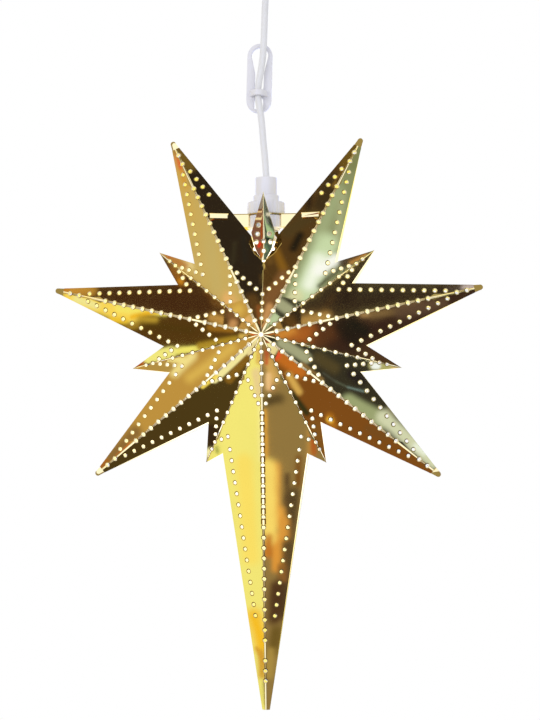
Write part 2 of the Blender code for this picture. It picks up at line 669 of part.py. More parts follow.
def build_bridge(brass):
    """Horizontal brass strip with a hole for the holder, stiffening flanges and four bent tabs."""
    low = BRIDGE_TOP_Z - BRIDGE_SHEET
    half_depth = BRIDGE_HALF_DEPTH
    disc = BRIDGE_DISC
    joint = asin(half_depth / disc)
    right, left = TAB_CENTRE_X + TAB_HALF_WIDTH, TAB_CENTRE_X - TAB_HALF_WIDTH
    facet = Facet(RAY_COUNT // 2, 1, 1)
    normal = facet.normal()
    stand_off = SHEET + SEAT_GAP
    reach = [facet.over(x, BRIDGE_TOP).y + (stand_off + BRIDGE_SHEET / 2) / normal.y for x in (right, left)]
    quarter = [(BRIDGE_HALF_LENGTH, 0), (BRIDGE_HALF_LENGTH, half_depth), (right, half_depth)]
    quarter += [(right, reach[0]), (left, reach[1]), (left, half_depth)]
    steps = 6
    for k in range(steps + 1):
        angle = joint + (pi / 2 - joint) * k / steps
        quarter.append((disc * cos(angle), disc * sin(angle)))
    outline = list(quarter)
    outline += [(-x, y) for x, y in reversed(quarter[:-1])]
    outline += [(-x, -y) for x, y in quarter[1:]]
    outline += [(x, -y) for x, y in reversed(quarter[1:-1])]
    plate = place(mesh_of(slab(outline, low, BRIDGE_TOP_Z), "lamp_bridge"), "lamp_bridge", brass)
    bore = BODY_RADIUS + SEAT_GAP
    cut_away(plate, [rod((0, 0, low), bore, 2 * OVERRUN + 2 * BRIDGE_SHEET, sides=ROUND_SIDES)])

    flap_top = BRIDGE_TOP - BRIDGE_SHEET / 2
    flap_low = flap_top - TAB_FLAP_DROP
    flap = [
        (left, flap_top), (right, flap_top), (right, flap_low), (right - TAB_EAR / 3, flap_low - TAB_EAR),
        (TAB_CENTRE_X + TAB_HALF_WIDTH / 2, flap_low), (left, flap_low),
    ]
    parts = []
    for side in (-1, 1):
        for face in (-1, 1):
            length = BRIDGE_FLANGE_END - BRIDGE_FLANGE_START
            middle = side * (BRIDGE_FLANGE_START + BRIDGE_FLANGE_END) / 2
            parts.append(box(
                (middle, face * (half_depth - BRIDGE_SHEET / 2), BRIDGE_TOP_Z - BRIDGE_FLANGE_DROP / 2),
                (length, BRIDGE_SHEET, BRIDGE_FLANGE_DROP),
            ))
            mirror = Matrix.Diagonal((side, face, 1))
            seats = [mirror @ (facet.over(x, height) + stand_off * normal) for x, height in flap]
            rise = mirror @ (BRIDGE_SHEET * normal)
            parts.append(prism(seats, [point + rise for point in seats]))
    cut_away(plate, parts, "UNION")


class Facet:
    """One flat facet of a sheet: from the middle, along a long ray, to the short ray beside it."""

    def __init__(self, ray, side, facing):
        self.lower = ray == 0
        self.angle = -pi / 2 + 2 * pi * ray / RAY_COUNT
        self.side = side
        self.facing = facing
        self.upper = (ray == RAY_COUNT // 2 and side > 0) or (ray == RAY_COUNT // 2 + 1 and side < 0)
        self.cut = LOWER_CUT if self.lower else LONG_CUT
        self.cut_half = LOWER_CUT_HALF if self.lower else LONG_CUT_HALF
        half_step = pi / RAY_COUNT
        along, across = SHORT_RAY * cos(half_step), SHORT_RAY * sin(half_step)
        self.fall_across = (1 - along / self.cut) / (across - along * self.cut_half / self.cut)
        self.fall_along = (1 - self.fall_across * self.cut_half) / self.cut
        radius = LOWER_NOTCH_RADIUS if self.lower else NOTCH_RADIUS
        turn = half_step - (LOWER_NOTCH_TURN if self.lower else NOTCH_TURN)
        self.notch = (radius * cos(turn), radius * sin(turn))
        self.tip = (along, across)

    def at(self, along, across):
        """The point of the facet's inner face over a place in the plane of the star."""
        rise = FOLD_RISE * (1 - self.fall_along * along - self.fall_across * across)
        turn = self.side * across
        x = along * cos(self.angle) - turn * sin(self.angle)
        z = along * sin(self.angle) + turn * cos(self.angle)
        return Vector((x, self.facing * (SEAT_GAP / 2 + rise), STAR_Z + z))

    def normal(self):
        """The direction square to the facet, out of the star."""
        out = (self.at(self.cut, 0) - self.at(0, 0)).cross(self.at(*self.notch) - self.at(0, 0)).normalized()
        return out if out.y * self.facing > 0 else -out

    def over(self, x, height):
        """The facet's point over a sideways place and a height above the middle of the star."""
        along = x * cos(self.angle) + height * sin(self.angle)
        across = (height * cos(self.angle) - x * sin(self.angle)) * self.side
        return self.at(along, across)

    def outline(self):
        """Corners of the facet, from the middle of the star round to its valley fold."""
        corners = [self.at(0, 0), self.at(self.cut, 0), self.at(self.cut, self.cut_half)]
        corners.append(self.at(*self.notch))
        if not self.upper:
            return corners + [self.at(*self.tip)]
        side = 1 if cos(self.angle) > 0 else -1
        return corners + [
            self.over(side * SLIT_MIDDLE_X, SLIT_BOTTOM + SLIT_MIDDLE_RISE),
            self.over(side * SLIT_HINGE_HALF, SLIT_BOTTOM + SLIT_HINGE_HALF / 2),
            self.over(0, SLIT_BOTTOM),
        ]

    def holes(self):
        """Outlines of the holes along the long ray's edge, and of the slot for a bridge tab."""
        found = []
        start, end = self.at(*self.notch), self.at(self.cut, self.cut_half)
        middle, ridge = self.at(0, 0), self.at(self.cut, 0)
        fold = (ridge - middle).normalized()
        edge = (end - start).normalized()
        inward = (ridge - end) - (ridge - end).dot(edge) * edge
        inward.normalize()
        count = LOWER_ROW_HOLES if self.lower else LONG_ROW_HOLES
        pitch = LOWER_ROW_PITCH if self.lower else LONG_ROW_PITCH
        back = LOWER_ROW_START if self.lower else LONG_ROW_START
        inset = LOWER_ROW_INSET if self.lower else LONG_ROW_INSET
        for number in range(count):
            centre = start + edge * (pitch * number - back) + inward * inset
            to_fold = ((centre - middle) - (centre - middle).dot(fold) * fold).length
            if to_fold < HOLE_RADIUS + HOLE_TO_FOLD:
                continue
            slot_clear = centre.z - STAR_Z > BRIDGE_TOP + ROW_CLEAR_OF_SLOT
            if self.upper and not slot_clear:
                continue
            turns = [2 * pi * k / HOLE_SIDES for k in range(HOLE_SIDES)]
            found.append([centre + HOLE_RADIUS * (cos(turn) * edge + sin(turn) * inward) for turn in turns])
        if self.upper:
            side = 1 if cos(self.angle) > 0 else -1
            top = BRIDGE_TOP + SEAT_GAP
            near, far = TAB_CENTRE_X - SLOT_HALF_WIDTH, TAB_CENTRE_X + SLOT_HALF_WIDTH
            low = top - SLOT_HEIGHT
            corners = ((near, top), (far, top), (far, low), (near, low))
            found.append([self.over(side * x, height) for x, height in corners])
        return found

    def fill(self, sheet):
        """Adds the facet to the sheet as triangles, with its holes left open."""
        middle = self.at(0, 0)
        fold = (self.at(self.cut, 0) - middle).normalized()
        away = self.at(self.cut, self.cut_half) - middle
        across = (away - away.dot(fold) * fold).normalized()
        loops = [self.outline(), *self.holes()]
        points, faces = [], []
        for loop in loops:
            faces.append(list(range(len(points), len(points) + len(loop))))
            points += loop
        flat = [Vector(((p - middle).dot(fold), (p - middle).dot(across))) for p in points]
        edges = [(loop[k], loop[(k + 1) % len(loop)]) for loop in faces for k in range(len(loop))]
        made_points, _, triangles, *_ = delaunay_2d_cdt(flat, edges, [faces[0]], 1, WELD / 100)
        verts = [sheet.verts.new(middle + fold * p.x + across * p.y) for p in made_points]
        for triangle in triangles:
            centre = sum((made_points[k] for k in triangle), Vector((0, 0))) / 3
            if any(inside(centre, [flat[k] for k in loop]) for loop in faces[1:]):
                continue
            sheet.faces.new([verts[k] for k in triangle])


def inside(point, loop):
    """Whether a point lies in a convex outline."""
    sides = [(b - a).cross(point - a) for a, b in zip(loop, loop[1:] + loop[:1])]
    return all(side > 0 for side in sides) or all(side < 0 for side in sides)


def add_upright_point(sheet, facing):
    """The top short ray, slit free along its sides and bent upright in front of the lampholder."""
    right = Facet(RAY_COUNT // 2, 1, facing)
    foot = right.over(0, SLIT_BOTTOM)
    tip = foot + Vector((0, facing * POINT_LEAN, POINT_HEIGHT))
    centre_share = POINT_CORNER_HEIGHT / POINT_HEIGHT
    middle_y = foot.y + facing * (POINT_LEAN * centre_share + POINT_FOLD)
    for side, facet in ((1, right), (-1, Facet(RAY_COUNT // 2 + 1, -1, facing))):
        hinge = facet.over(side * SLIT_HINGE_HALF, SLIT_BOTTOM + SLIT_HINGE_HALF / 2)
        corner = Vector((side * POINT_HALF_WIDTH, middle_y, foot.z + POINT_CORNER_HEIGHT))
        for triangle in ((foot, hinge, corner), (foot, corner, tip)):
            sheet.faces.new([sheet.verts.new(point) for point in triangle])


def add_tongue(sheet, ray, facing):
    """Rounded flat tongue past the cut end of a long ray of the back sheet."""
    facet = Facet(ray, 1, facing)
    other = Facet(ray, -1, facing)
    ridge = facet.at(facet.cut, 0)
    right, left = facet.at(facet.cut, facet.cut_half), other.at(facet.cut, facet.cut_half)
    sheet.faces.new([sheet.verts.new(point) for point in (ridge, right, left)])
    out = (facet.at(facet.cut + TONGUE_REACH, 0) - ridge)
    out.y = 0
    out.normalize()
    across = (right - left).normalized()
    centre = (right + left) / 2 + out * (TONGUE_REACH - TONGUE_HALF)
    tip = [centre + x * across + y * out for x, y in arc((0, 0), TONGUE_HALF, 0, pi, 6)]
    sheet.faces.new([sheet.verts.new(point) for point in [left, right, *tip]])


def build_sheet(name, facing, tongues, brass):
    """One pressed and folded star sheet; facing is -1 for the front one and 1 for the back one."""
    sheet = bmesh.new()
    for ray in range(RAY_COUNT):
        for side in (-1, 1):
            Facet(ray, side, facing).fill(sheet)
        if tongues and ray:
            add_tongue(sheet, ray, facing)
    add_upright_point(sheet, facing)
    bmesh.ops.remove_doubles(sheet, verts=sheet.verts, dist=WELD)
    bmesh.ops.recalc_face_normals(sheet, faces=sheet.faces)
    if sum(face.normal.y * face.calc_area() for face in sheet.faces) * facing < 0:
        bmesh.ops.reverse_faces(sheet, faces=sheet.faces)
    mesh = bpy.data.meshes.new(name)
    sheet.to_mesh(mesh)
    sheet.free()
    made = place(mesh, name, brass)
    thick = made.modifiers.new("sheet_thickness", "SOLIDIFY")
    thick.thickness = SHEET
    thick.offset = 1.0
    thick.use_even_offset = True
    thick.use_rim = True


def build_lamp(nickel, dark_glass, opal, white, board_finish, chip_finish):
    """Screw-base lamp: threaded cap, insulator, contact, collar, opal globe, board and light chips."""
    pivot = (0, 0, LAMP_CAP_TOP_Z)
    radius, wall, depth = LAMP_CAP_RADIUS, LAMP_CAP_WALL, LAMP_THREAD_DEPTH
    outer = [(radius - depth, LAMP_CAP_BASE_Z)]
    for number in range(LAMP_THREADS):
        crest = LAMP_CAP_BASE_Z + LAMP_PITCH * (number + LAMP_THREAD_START_SHARE)
        outer += [(radius, crest), (radius - depth, crest + LAMP_PITCH / 2)]
    outer += [(radius - depth, LAMP_CAP_TOP_Z - wall), (LAMP_INSULATOR_RADIUS, LAMP_CAP_TOP_Z)]
    inner = radius - depth - wall
    profile = [(inner, LAMP_CAP_BASE_Z), *outer, (inner / 2, LAMP_CAP_TOP_Z)]
    profile += [(inner / 2, LAMP_CAP_TOP_Z - wall), (inner, LAMP_CAP_TOP_Z - 3 * wall)]
    place(mesh_of(turned(profile, SMALL_SIDES), "lamp_screw_cap"), "lamp_screw_cap", nickel, pivot)

    low = LAMP_CAP_TOP_Z + SEAT_GAP
    high = low + LAMP_INSULATOR_HEIGHT
    cone = [(0, low), (LAMP_INSULATOR_RADIUS, low), (LAMP_CONTACT_RADIUS, high), (0, high)]
    place(mesh_of(turned(cone, SMALL_SIDES), "lamp_insulator"), "lamp_insulator", dark_glass, pivot)
    low = high + SEAT_GAP
    button = [(0, low), (LAMP_CONTACT_RADIUS, low)]
    button += [(LAMP_CONTACT_TIP_RADIUS, LAMP_CONTACT_Z), (0, LAMP_CONTACT_Z)]
    place(mesh_of(turned(button, SMALL_SIDES), "lamp_contact"), "lamp_contact", nickel, pivot)

    seat = COLLAR_BASE_Z
    shoulder = seat + COLLAR_SPIGOT_HEIGHT
    collar = turned([
        (COLLAR_NECK - COLLAR_WALL, seat), (COLLAR_SPIGOT, seat), (COLLAR_SPIGOT, shoulder),
        (COLLAR_RADIUS, shoulder), (COLLAR_FLARE_RADIUS, COLLAR_TOP_Z - COLLAR_FLARE_HEIGHT),
        (COLLAR_NECK, COLLAR_TOP_Z - COLLAR_NECK_HEIGHT), (COLLAR_NECK, COLLAR_TOP_Z),
        (COLLAR_NECK - COLLAR_WALL, COLLAR_TOP_Z),
    ])
    place(mesh_of(collar, "lamp_collar"), "lamp_collar", white, pivot)

    top = shoulder - SEAT_GAP
    neck = COLLAR_SPIGOT + SEAT_GAP
    centre = (0, top - GLOBE_LENGTH + GLOBE_RADIUS)
    hollow = GLOBE_RADIUS - GLOBE_WALL
    steps = 8
    outside = [(neck + GLOBE_WALL, top)]
    outside += arc(centre, GLOBE_RADIUS, acos((neck + GLOBE_WALL) / GLOBE_RADIUS), -pi / 2, steps)[:-1]
    outside.append((0, centre[1] - GLOBE_RADIUS))
    within = [(0, centre[1] - hollow)] + arc(centre, hollow, -pi / 2, acos(neck / hollow), steps)[1:]
    within.append((neck, top))
    place(mesh_of(turned(within + outside), "lamp_globe"), "lamp_globe", opal, pivot)

    board_top = seat - SEAT_GAP
    board = rod((0, 0, board_top - BOARD_THICK / 2), BOARD_RADIUS, BOARD_THICK)
    place(mesh_of(board, "light_board"), "light_board", board_finish, pivot)
    chip_z = board_top - BOARD_THICK - SEAT_GAP - CHIP[2] / 2
    for number in range(CHIP_COUNT):
        angle = 2 * pi * number / CHIP_COUNT
        name = f"light_chip_{number + 1}"
        chip = box((CHIP_RING * cos(angle), CHIP_RING * sin(angle), chip_z), CHIP)
        place(mesh_of(chip, name), name, chip_finish, pivot)


def main():
    """Builds every piece of the star and its suspension."""
    clear_scene()
    white = Finish("white_plastic", (0.85, 0.84, 0.85), 0.4)
    cord_white = Finish("cord_sheath", (0.84, 0.83, 0.83), 0.5)
    brass = Finish("mirror_brass", (0.83, 0.6, 0.2), 0.12, 1.0)
    contact_brass = Finish("contact_brass", (0.75, 0.58, 0.28), 0.35, 1.0)
    steel = Finish("zinc_steel", (0.66, 0.66, 0.67), 0.35, 1.0)
    copper = Finish("core_sheath", (0.35, 0.18, 0.1), 0.5)
    nickel = Finish("nickel", (0.7, 0.69, 0.66), 0.3, 1.0)
    dark_glass = Finish("dark_glass", (0.03, 0.03, 0.04), 0.2)
    opal = Finish("opal_glass", (0.95, 0.92, 0.85), 0.35)
    board = Finish("light_board", (0.9, 0.9, 0.9), 0.5)
    chip = Finish("light_chip", (0.95, 0.75, 0.25), 0.5)
    build_rose(white, steel, contact_brass)
    build_suspension(white, steel)
    build_cord(cord_white, copper)
    build_adjuster(white)
    build_lampholder(white, contact_brass, steel)
    build_bridge(brass)
    build_sheet("front_shell", -1, False, brass)
    build_sheet("back_shell", 1, True, brass)
    build_lamp(nickel, dark_glass, opal, white, board, chip)


main()
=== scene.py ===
"""Looks of a lit hanging star: pierced mirror-brass sheets, lampholder, cord and ceiling rose.

Metres, +Z up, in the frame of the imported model. The star's front faces -Y.
"""

import logging
from dataclasses import dataclass, field
from enum import Enum
from math import acos, asin, cos, pi, radians, sin, tan

import bmesh
import bpy
from mathutils import Euler, Matrix, Vector
from mathutils.geometry import delaunay_2d_cdt


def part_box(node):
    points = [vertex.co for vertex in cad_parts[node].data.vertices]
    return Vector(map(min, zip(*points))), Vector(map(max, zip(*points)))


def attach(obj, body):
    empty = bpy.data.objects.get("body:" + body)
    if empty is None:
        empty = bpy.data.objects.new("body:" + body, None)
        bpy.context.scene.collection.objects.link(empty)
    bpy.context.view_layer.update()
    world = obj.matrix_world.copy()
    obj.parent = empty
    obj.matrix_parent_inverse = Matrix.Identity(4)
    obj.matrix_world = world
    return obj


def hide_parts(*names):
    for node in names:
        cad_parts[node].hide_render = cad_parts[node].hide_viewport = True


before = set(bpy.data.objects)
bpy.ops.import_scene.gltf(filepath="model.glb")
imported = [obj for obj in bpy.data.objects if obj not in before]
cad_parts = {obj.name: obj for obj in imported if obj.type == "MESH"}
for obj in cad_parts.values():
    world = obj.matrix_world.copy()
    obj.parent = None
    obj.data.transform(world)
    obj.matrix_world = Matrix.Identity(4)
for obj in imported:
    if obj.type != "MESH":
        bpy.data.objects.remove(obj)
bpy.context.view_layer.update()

LOG = logging.getLogger("star")
MM = 0.001
WELD = 0.00001
TOUCH = WELD / 50
SHARP_ANGLE = radians(35)
ROUND_SIDES = 96
BITE_STEPS = 8
ROUTE_STEPS = 12
ROUNDING_STEPS = 3
# Finish numbers of a sheet's faces: the outside, the inside with a painted lamp glow, and the
# inside with painted shade.
OUTSIDE, LIT, SHADED = range(3)
Colour = tuple[float, float, float]
Point = tuple[float, float]
UNIT = (0.0, 1.0)


class Body(Enum):
    """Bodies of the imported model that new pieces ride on."""

    COVER = "rose_cover"
    STAR = "star"
    LAMP = "lamp"


class Slot(Enum):
    """Material slots of the record that new pieces belong to."""

    PLASTIC = "white_plastic"
    CORD = "cord_sheath"
    BRASS = "mirror_brass"
    OPAL = "opal_glass"


class NodeGraph:
    """Shader nodes of one material or world, added and joined in short calls."""

    def __init__(self, owner: bpy.types.ID) -> None:
        """Clears the owner's nodes.

        Args:
            owner: The material or world that gets the nodes.
        """
        owner.use_nodes = True
        self.tree = owner.node_tree
        self.tree.nodes.clear()

    def add(self, kind: str, inputs: dict | None = None, **settings: object) -> bpy.types.Node:
        """Adds one node.

        Args:
            kind: The node's type, without its ShaderNode prefix.
            inputs: Values or sockets for the node's inputs, by name or number.
            settings: The node's own settings.

        Returns:
            The new node.
        """
        node = self.tree.nodes.new("ShaderNode" + kind)
        for name, value in settings.items():
            setattr(node, name, value)
        for key, value in (inputs or {}).items():
            self.feed(node, key, value)
        return node

    def feed(self, node: bpy.types.Node, key: str | int, value: object) -> None:
        """Sets one input of a node to a value, or joins a socket to it."""
        socket = node.inputs[key]
        if isinstance(value, bpy.types.NodeSocket):
            self.tree.links.new(value, socket)
        else:
            socket.default_value = value

    def sum_up(self, operation: str, *values: object, clamp: bool = False) -> bpy.types.NodeSocket:
        """A Math node's result."""
        node = self.add("Math", dict(enumerate(values)), operation=operation, use_clamp=clamp)
        return node.outputs[0]

    def vector(self, operation: str, inputs: dict) -> bpy.types.Node:
        """A Vector Math node."""
        return self.add("VectorMath", inputs, operation=operation)

    def blend(self, factor: object, low: object, high: object) -> bpy.types.NodeSocket:
        """A colour between two others.

        Args:
            factor: Share of the second colour, as a number or socket.
            low: First colour, as a triple or socket.
            high: Second colour, as a triple or socket.

        Returns:
            The mixed colour's socket.
        """
        inputs = {0: factor, 6: solid(low), 7: solid(high)}
        return self.add("Mix", inputs, data_type="RGBA").outputs[2]

    def noise(self, scale: float, detail: float, place: object) -> bpy.types.NodeSocket:
        """A noise pattern's value."""
        inputs = {"Vector": place, "Scale": scale, "Detail": detail}
        return self.add("TexNoise", inputs).outputs[0]

    def ramp(
        self, value: object, ends: Point, low: float = 0.0, high: float = 1.0, soft: bool = False,
    ) -> bpy.types.NodeSocket:
        """Turns a value between two ends into one between two limits, also with soft ends."""
        kind = "SMOOTHSTEP" if soft else "LINEAR"
        inputs = {0: value, 1: ends[0], 2: ends[1], 3: low, 4: high}
        return self.add("MapRange", inputs, interpolation_type=kind).outputs[0]

    def bump(self, height: object, distance: float, under: object = None) -> bpy.types.NodeSocket:
        """The aim of a surface that a pattern raises, on top of another such aim if given."""
        inputs = {"Height": height, "Distance": distance}
        if under is not None:
            inputs["Normal"] = under
        return self.add("Bump", inputs).outputs[0]


def solid(colour: object) -> object:
    """A colour triple with full alpha, or the socket it was given."""
    return (*colour, 1.0) if isinstance(colour, tuple) and len(colour) == 3 else colour


@dataclass(frozen=True)
class Finish:
    """A surface finish, whose shade and roughness drift from place to place.

    Its darkest shade is a share of the tint, and its two rough shares are of the roughness.
    """

    name: str
    tint: Colour
    roughness: float
    drift_scale: float = 35.0
    drift_detail: float = 2.0
    darkest: float = 0.95
    rough_shares: Point = (0.85, 1.15)

    def material(self) -> bpy.types.Material:
        """The finish's material, made once."""
        made = bpy.data.materials.get(self.name)
        if made is None:
            made = bpy.data.materials.new(self.name)
            graph = NodeGraph(made)
            place = graph.add("TexCoord").outputs["Object"]
            drift = graph.noise(self.drift_scale, self.drift_detail, place)
            shader = graph.add("BsdfPrincipled", self.inputs(graph, place, drift))
            graph.add("OutputMaterial", {"Surface": shader.outputs[0]})
        return made

    def inputs(self, graph: NodeGraph, place: object, drift: object) -> dict:
        """Adds the finish's own nodes.

        Args:
            graph: The material's nodes.
            place: The place on the piece.
            drift: The drift of the shade, from nought to one.

        Returns:
            The surface shader's inputs.
        """
        raise NotImplementedError

    def shades(self, graph: NodeGraph, drift: object) -> bpy.types.NodeSocket:
        """The tint, darker where the drift is low."""
        return graph.blend(drift, tuple(self.darkest * part for part in self.tint), self.tint)

    def rough(self, graph: NodeGraph, drift: object) -> bpy.types.NodeSocket:
        """The roughness, less where the drift is low."""
        low, high = (self.roughness * share for share in self.rough_shares)
        return graph.ramp(drift, UNIT, low, high)


@dataclass(frozen=True)
class MirrorBrass(Finish):
    """Rolled brass sheet with a mirror finish, slightly wavy, darker where it was punched, with
    painted shade beside its slits.
    """

    drift_scale: float = 17.0
    darkest: float = 0.93
    rough_shares: Point = (0.6, 1.5)
    smear_scale: float = 60.0
    # The dark colour of the punched edges, which also paints the shade beside the slits.
    punched_and_slit_shade: Colour = (0.16, 0.085, 0.03)
    wave_scale: float = 9.0
    wave_height: float = 0.0002
    ripple_scale: float = 46.0
    ripple_height: float = 0.000012

    def inputs(self, graph: NodeGraph, place: object, drift: object) -> dict:
        """Adds the darker punched edges and the painted shade beside the slits, the waves and the
        smears.
        """
        punch_and_slit_shade_share = graph.add("Attribute", attribute_name="punched_and_slit_shade").outputs["Fac"]
        waves = graph.bump(graph.noise(self.wave_scale, 0.0, place), self.wave_height)
        ripples = graph.noise(self.ripple_scale, 1.0, place)
        # Painted shade: the dark punched colour also fills the band beside each slit, on top of the
        # darker punched edges.
        return {
            "Base Color": graph.blend(punch_and_slit_shade_share, self.shades(graph, drift), self.punched_and_slit_shade),
            "Metallic": 1.0, "Normal": graph.bump(ripples, self.ripple_height, waves),
            "Roughness": self.rough(graph, graph.noise(self.smear_scale, 3.0, place)),
        }


@dataclass(frozen=True)
class LitBrass(Finish):
    """Inner face of the sheets, satin brass with a painted warm glow for the lamp's light, as an
    emission that fades away from the lamp.
    """

    drift_scale: float = 24.0
    darkest: float = 0.85
    lamp_place: tuple[float, float, float] = (0.0, 0.0, -0.49)
    near_glow: Colour = (1.0, 0.95, 0.74)
    far_glow: Colour = (1.0, 0.86, 0.18)
    near_strength: float = 1.5
    far_strength: float = 0.98
    reach: Point = (0.09, 0.24)
    cloudy: float = 0.3

    def inputs(self, graph: NodeGraph, place: object, drift: object) -> dict:
        """Adds the painted glow, which fades away from the lamp."""
        offset = graph.vector("SUBTRACT", {0: place, 1: self.lamp_place}).outputs[0]
        distance = graph.vector("LENGTH", {0: offset}).outputs["Value"]
        cloud = graph.ramp(drift, UNIT, -self.cloudy, self.cloudy)
        share = graph.sum_up("ADD", graph.ramp(distance, self.reach), cloud, clamp=True)
        return {
            "Base Color": self.shades(graph, drift), "Metallic": 1.0,
            "Roughness": self.roughness,
            "Emission Color": graph.blend(share, self.near_glow, self.far_glow),
            "Emission Strength": graph.ramp(share, UNIT, self.near_strength, self.far_strength),
        }


@dataclass(frozen=True)
class Plastic(Finish):
    """Moulded plastic with a faint grain and slight shade changes."""

    grain_scale: float = 900.0
    grain_height: float = 0.00002

    def inputs(self, graph: NodeGraph, place: object, drift: object) -> dict:
        """Adds the grain."""
        grain = graph.noise(self.grain_scale, 2.0, place)
        return {
            "Base Color": self.shades(graph, drift), "Roughness": self.rough(graph, drift),
            "Normal": graph.bump(grain, self.grain_height),
        }


@dataclass(frozen=True)
class Metal(Finish):
    """Plain plated or turned metal with fine marks."""

    drift_scale: float = 70.0
    darkest: float = 0.82
    rough_shares: Point = (0.7, 1.4)
    mark_scale: float = 400.0
    mark_height: float = 0.00001
    mark_stretch: tuple[float, float, float] = (1.0, 1.0, 6.0)

    def inputs(self, graph: NodeGraph, place: object, drift: object) -> dict:
        """Adds the marks."""
        along = graph.add("Mapping", {"Vector": place, "Scale": self.mark_stretch}).outputs[0]
        marks = graph.noise(self.mark_scale, 3.0, along)
        return {
            "Base Color": self.shades(graph, drift), "Metallic": 1.0,
            "Roughness": self.rough(graph, drift), "Normal": graph.bump(marks, self.mark_height),
        }


@dataclass(frozen=True)
class Glow(Finish):
    """A lit surface: opal glass or a light chip, a little cloudy."""

    drift_scale: float = 30.0
    drift_detail: float = 1.0
    strength: float = 2.0
    warmest: Colour = (1.0, 0.95, 0.85)
    strength_shares: Point = (0.9, 1.1)

    def inputs(self, graph: NodeGraph, place: object, drift: object) -> dict:
        """Adds the light."""
        warm = tuple(part * share for part, share in zip(self.tint, self.warmest))
        low, high = (self.strength * share for share in self.strength_shares)
        return {
            "Base Color": graph.blend(drift, warm, self.tint), "Roughness": self.roughness,
            "Emission Color": solid(self.tint),
            "Emission Strength": graph.ramp(drift, UNIT, low, high),
        }


BRASS = MirrorBrass("mirror_brass_sheet", (0.88, 0.67, 0.25), 0.035)
# The inside of the sheets: a painted lamp glow, and a darker copy of the mirror brass as painted
# shade.
LIT_BRASS = LitBrass("brass_inside_painted_lamp_glow", (0.30, 0.20, 0.06), 0.45)
SHADED_BRASS = MirrorBrass("shaded_brass_back", (0.12, 0.08, 0.03), 0.2)
PLASTIC = Plastic("white_moulded_plastic", (0.80, 0.79, 0.82), 0.32)
SHEATH = Plastic("white_cord_sheath", (0.80, 0.80, 0.81), 0.45, grain_scale=300.0)
CORE_SHEATH = Plastic("brown_core_sheath", (0.30, 0.15, 0.08), 0.4)
CONTACT_BRASS = Metal("pressed_contact_brass", (0.74, 0.56, 0.27), 0.32)
STEEL = Metal("zinc_plated_steel", (0.66, 0.67, 0.69), 0.3)
NICKEL = Metal("nickel_plate", (0.72, 0.70, 0.66), 0.24)
DARK_GLASS = Plastic("dark_glass_insulator", (0.02, 0.02, 0.028), 0.12, grain_scale=200.0)
OPAL = Glow("lit_opal_globe", (1.0, 0.93, 0.78), 0.3, strength=2.2)
BOARD = Plastic("white_light_board", (0.82, 0.83, 0.84), 0.5)
CHIP = Glow("lit_light_chip", (1.0, 0.85, 0.5), 0.4, strength=3.0)
PALE_FLOOR = Plastic("pale_floor", (0.9, 0.9, 0.9), 0.7)


def linked(name: str, data: bpy.types.ID) -> bpy.types.Object:
    """A new object in the scene."""
    made = bpy.data.objects.new(name, data)
    bpy.context.scene.collection.objects.link(made)
    return made


def mesh_of(work: bmesh.types.BMesh, name: str) -> bpy.types.Mesh:
    """The mesh of a bmesh, which is freed."""
    mesh = bpy.data.meshes.new(name)
    work.to_mesh(mesh)
    work.free()
    return mesh


def finished(
    name: str, mesh: bpy.types.Mesh, finishes: list[Finish], body: Body, slot: Slot, *nodes: str,
) -> bpy.types.Object:
    """Makes a piece of a mesh, puts it on its body and lets it stand for its CAD nodes.

    Args:
        name: The piece's name.
        mesh: Its mesh, in the model's frame.
        finishes: One finish for each material number in the mesh.
        body: The body that it rides on.
        slot: The record's slot that its finish belongs to. Not used.
        nodes: The CAD nodes that it stands for.

    Returns:
        The piece.
    """
    for finish in finishes:
        mesh.materials.append(finish.material())
    made = linked(name, mesh)
    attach(made, body.value)
    if nodes:
        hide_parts(*nodes)
    LOG.info("%s: %d faces on %s", name, len(mesh.polygons), body.value)
    return made


def smooth_mesh(work: bmesh.types.BMesh, name: str, bevel: float = 0.0) -> bpy.types.Mesh:
    """Turns a bmesh into a smooth-shaded mesh with its sharp edges rounded off.

    Args:
        work: The shape, which is freed.
        name: The mesh's name.
        bevel: Width of the rounding on its sharp edges, or nought for none.

    Returns:
        The mesh.
    """
    bmesh.ops.remove_doubles(work, verts=work.verts, dist=WELD)
    bmesh.ops.recalc_face_normals(work, faces=work.faces)
    if bevel:
        sharp = [
            edge for edge in work.edges
            if len(edge.link_faces) == 2 and edge.calc_face_angle() > SHARP_ANGLE
        ]
        bmesh.ops.bevel(
            work, geom=sharp, offset=bevel, offset_type="OFFSET", segments=ROUNDING_STEPS,
            profile=0.5, affect="EDGES", clamp_overlap=True,
        )
    mesh = mesh_of(work, name)
    mesh.shade_smooth()
    mesh.set_sharp_from_angle(angle=SHARP_ANGLE)
    return mesh


def turned(profile: list[Point], sides: int = ROUND_SIDES) -> bmesh.types.BMesh:
    """Spins a closed outline of (radius, height) points about Z."""
    work = bmesh.new()
    points = [work.verts.new((radius, 0.0, height)) for radius, height in profile]
    edges = [work.edges.new(pair) for pair in zip(points, points[1:])]
    if profile[0][0] > 0 or profile[-1][0] > 0:
        edges.append(work.edges.new((points[-1], points[0])))
    bmesh.ops.spin(
        work, geom=points + edges, cent=(0, 0, 0), axis=(0, 0, 1), dvec=(0, 0, 0),
        angle=2 * pi, steps=sides, use_merge=True, use_duplicate=False,
    )
    return work


def slab(outline: list[Point], low: float, high: float) -> bmesh.types.BMesh:
    """Extrudes an outline of (x, y) points from one height to another."""
    work = bmesh.new()
    face = work.faces.new([work.verts.new((x, y, low)) for x, y in outline])
    grown = bmesh.ops.extrude_face_region(work, geom=[face])
    tops = [item for item in grown["geom"] if isinstance(item, bmesh.types.BMVert)]
    bmesh.ops.translate(work, verts=tops, vec=(0, 0, high - low))
    return work


def arc(centre: Point, radius: float, start: float, end: float, steps: int) -> list[Point]:
    """Points along a circular arc, as (x, y)."""
    turns = [start + (end - start) * k / steps for k in range(steps + 1)]
    return [(centre[0] + radius * cos(t), centre[1] + radius * sin(t)) for t in turns]


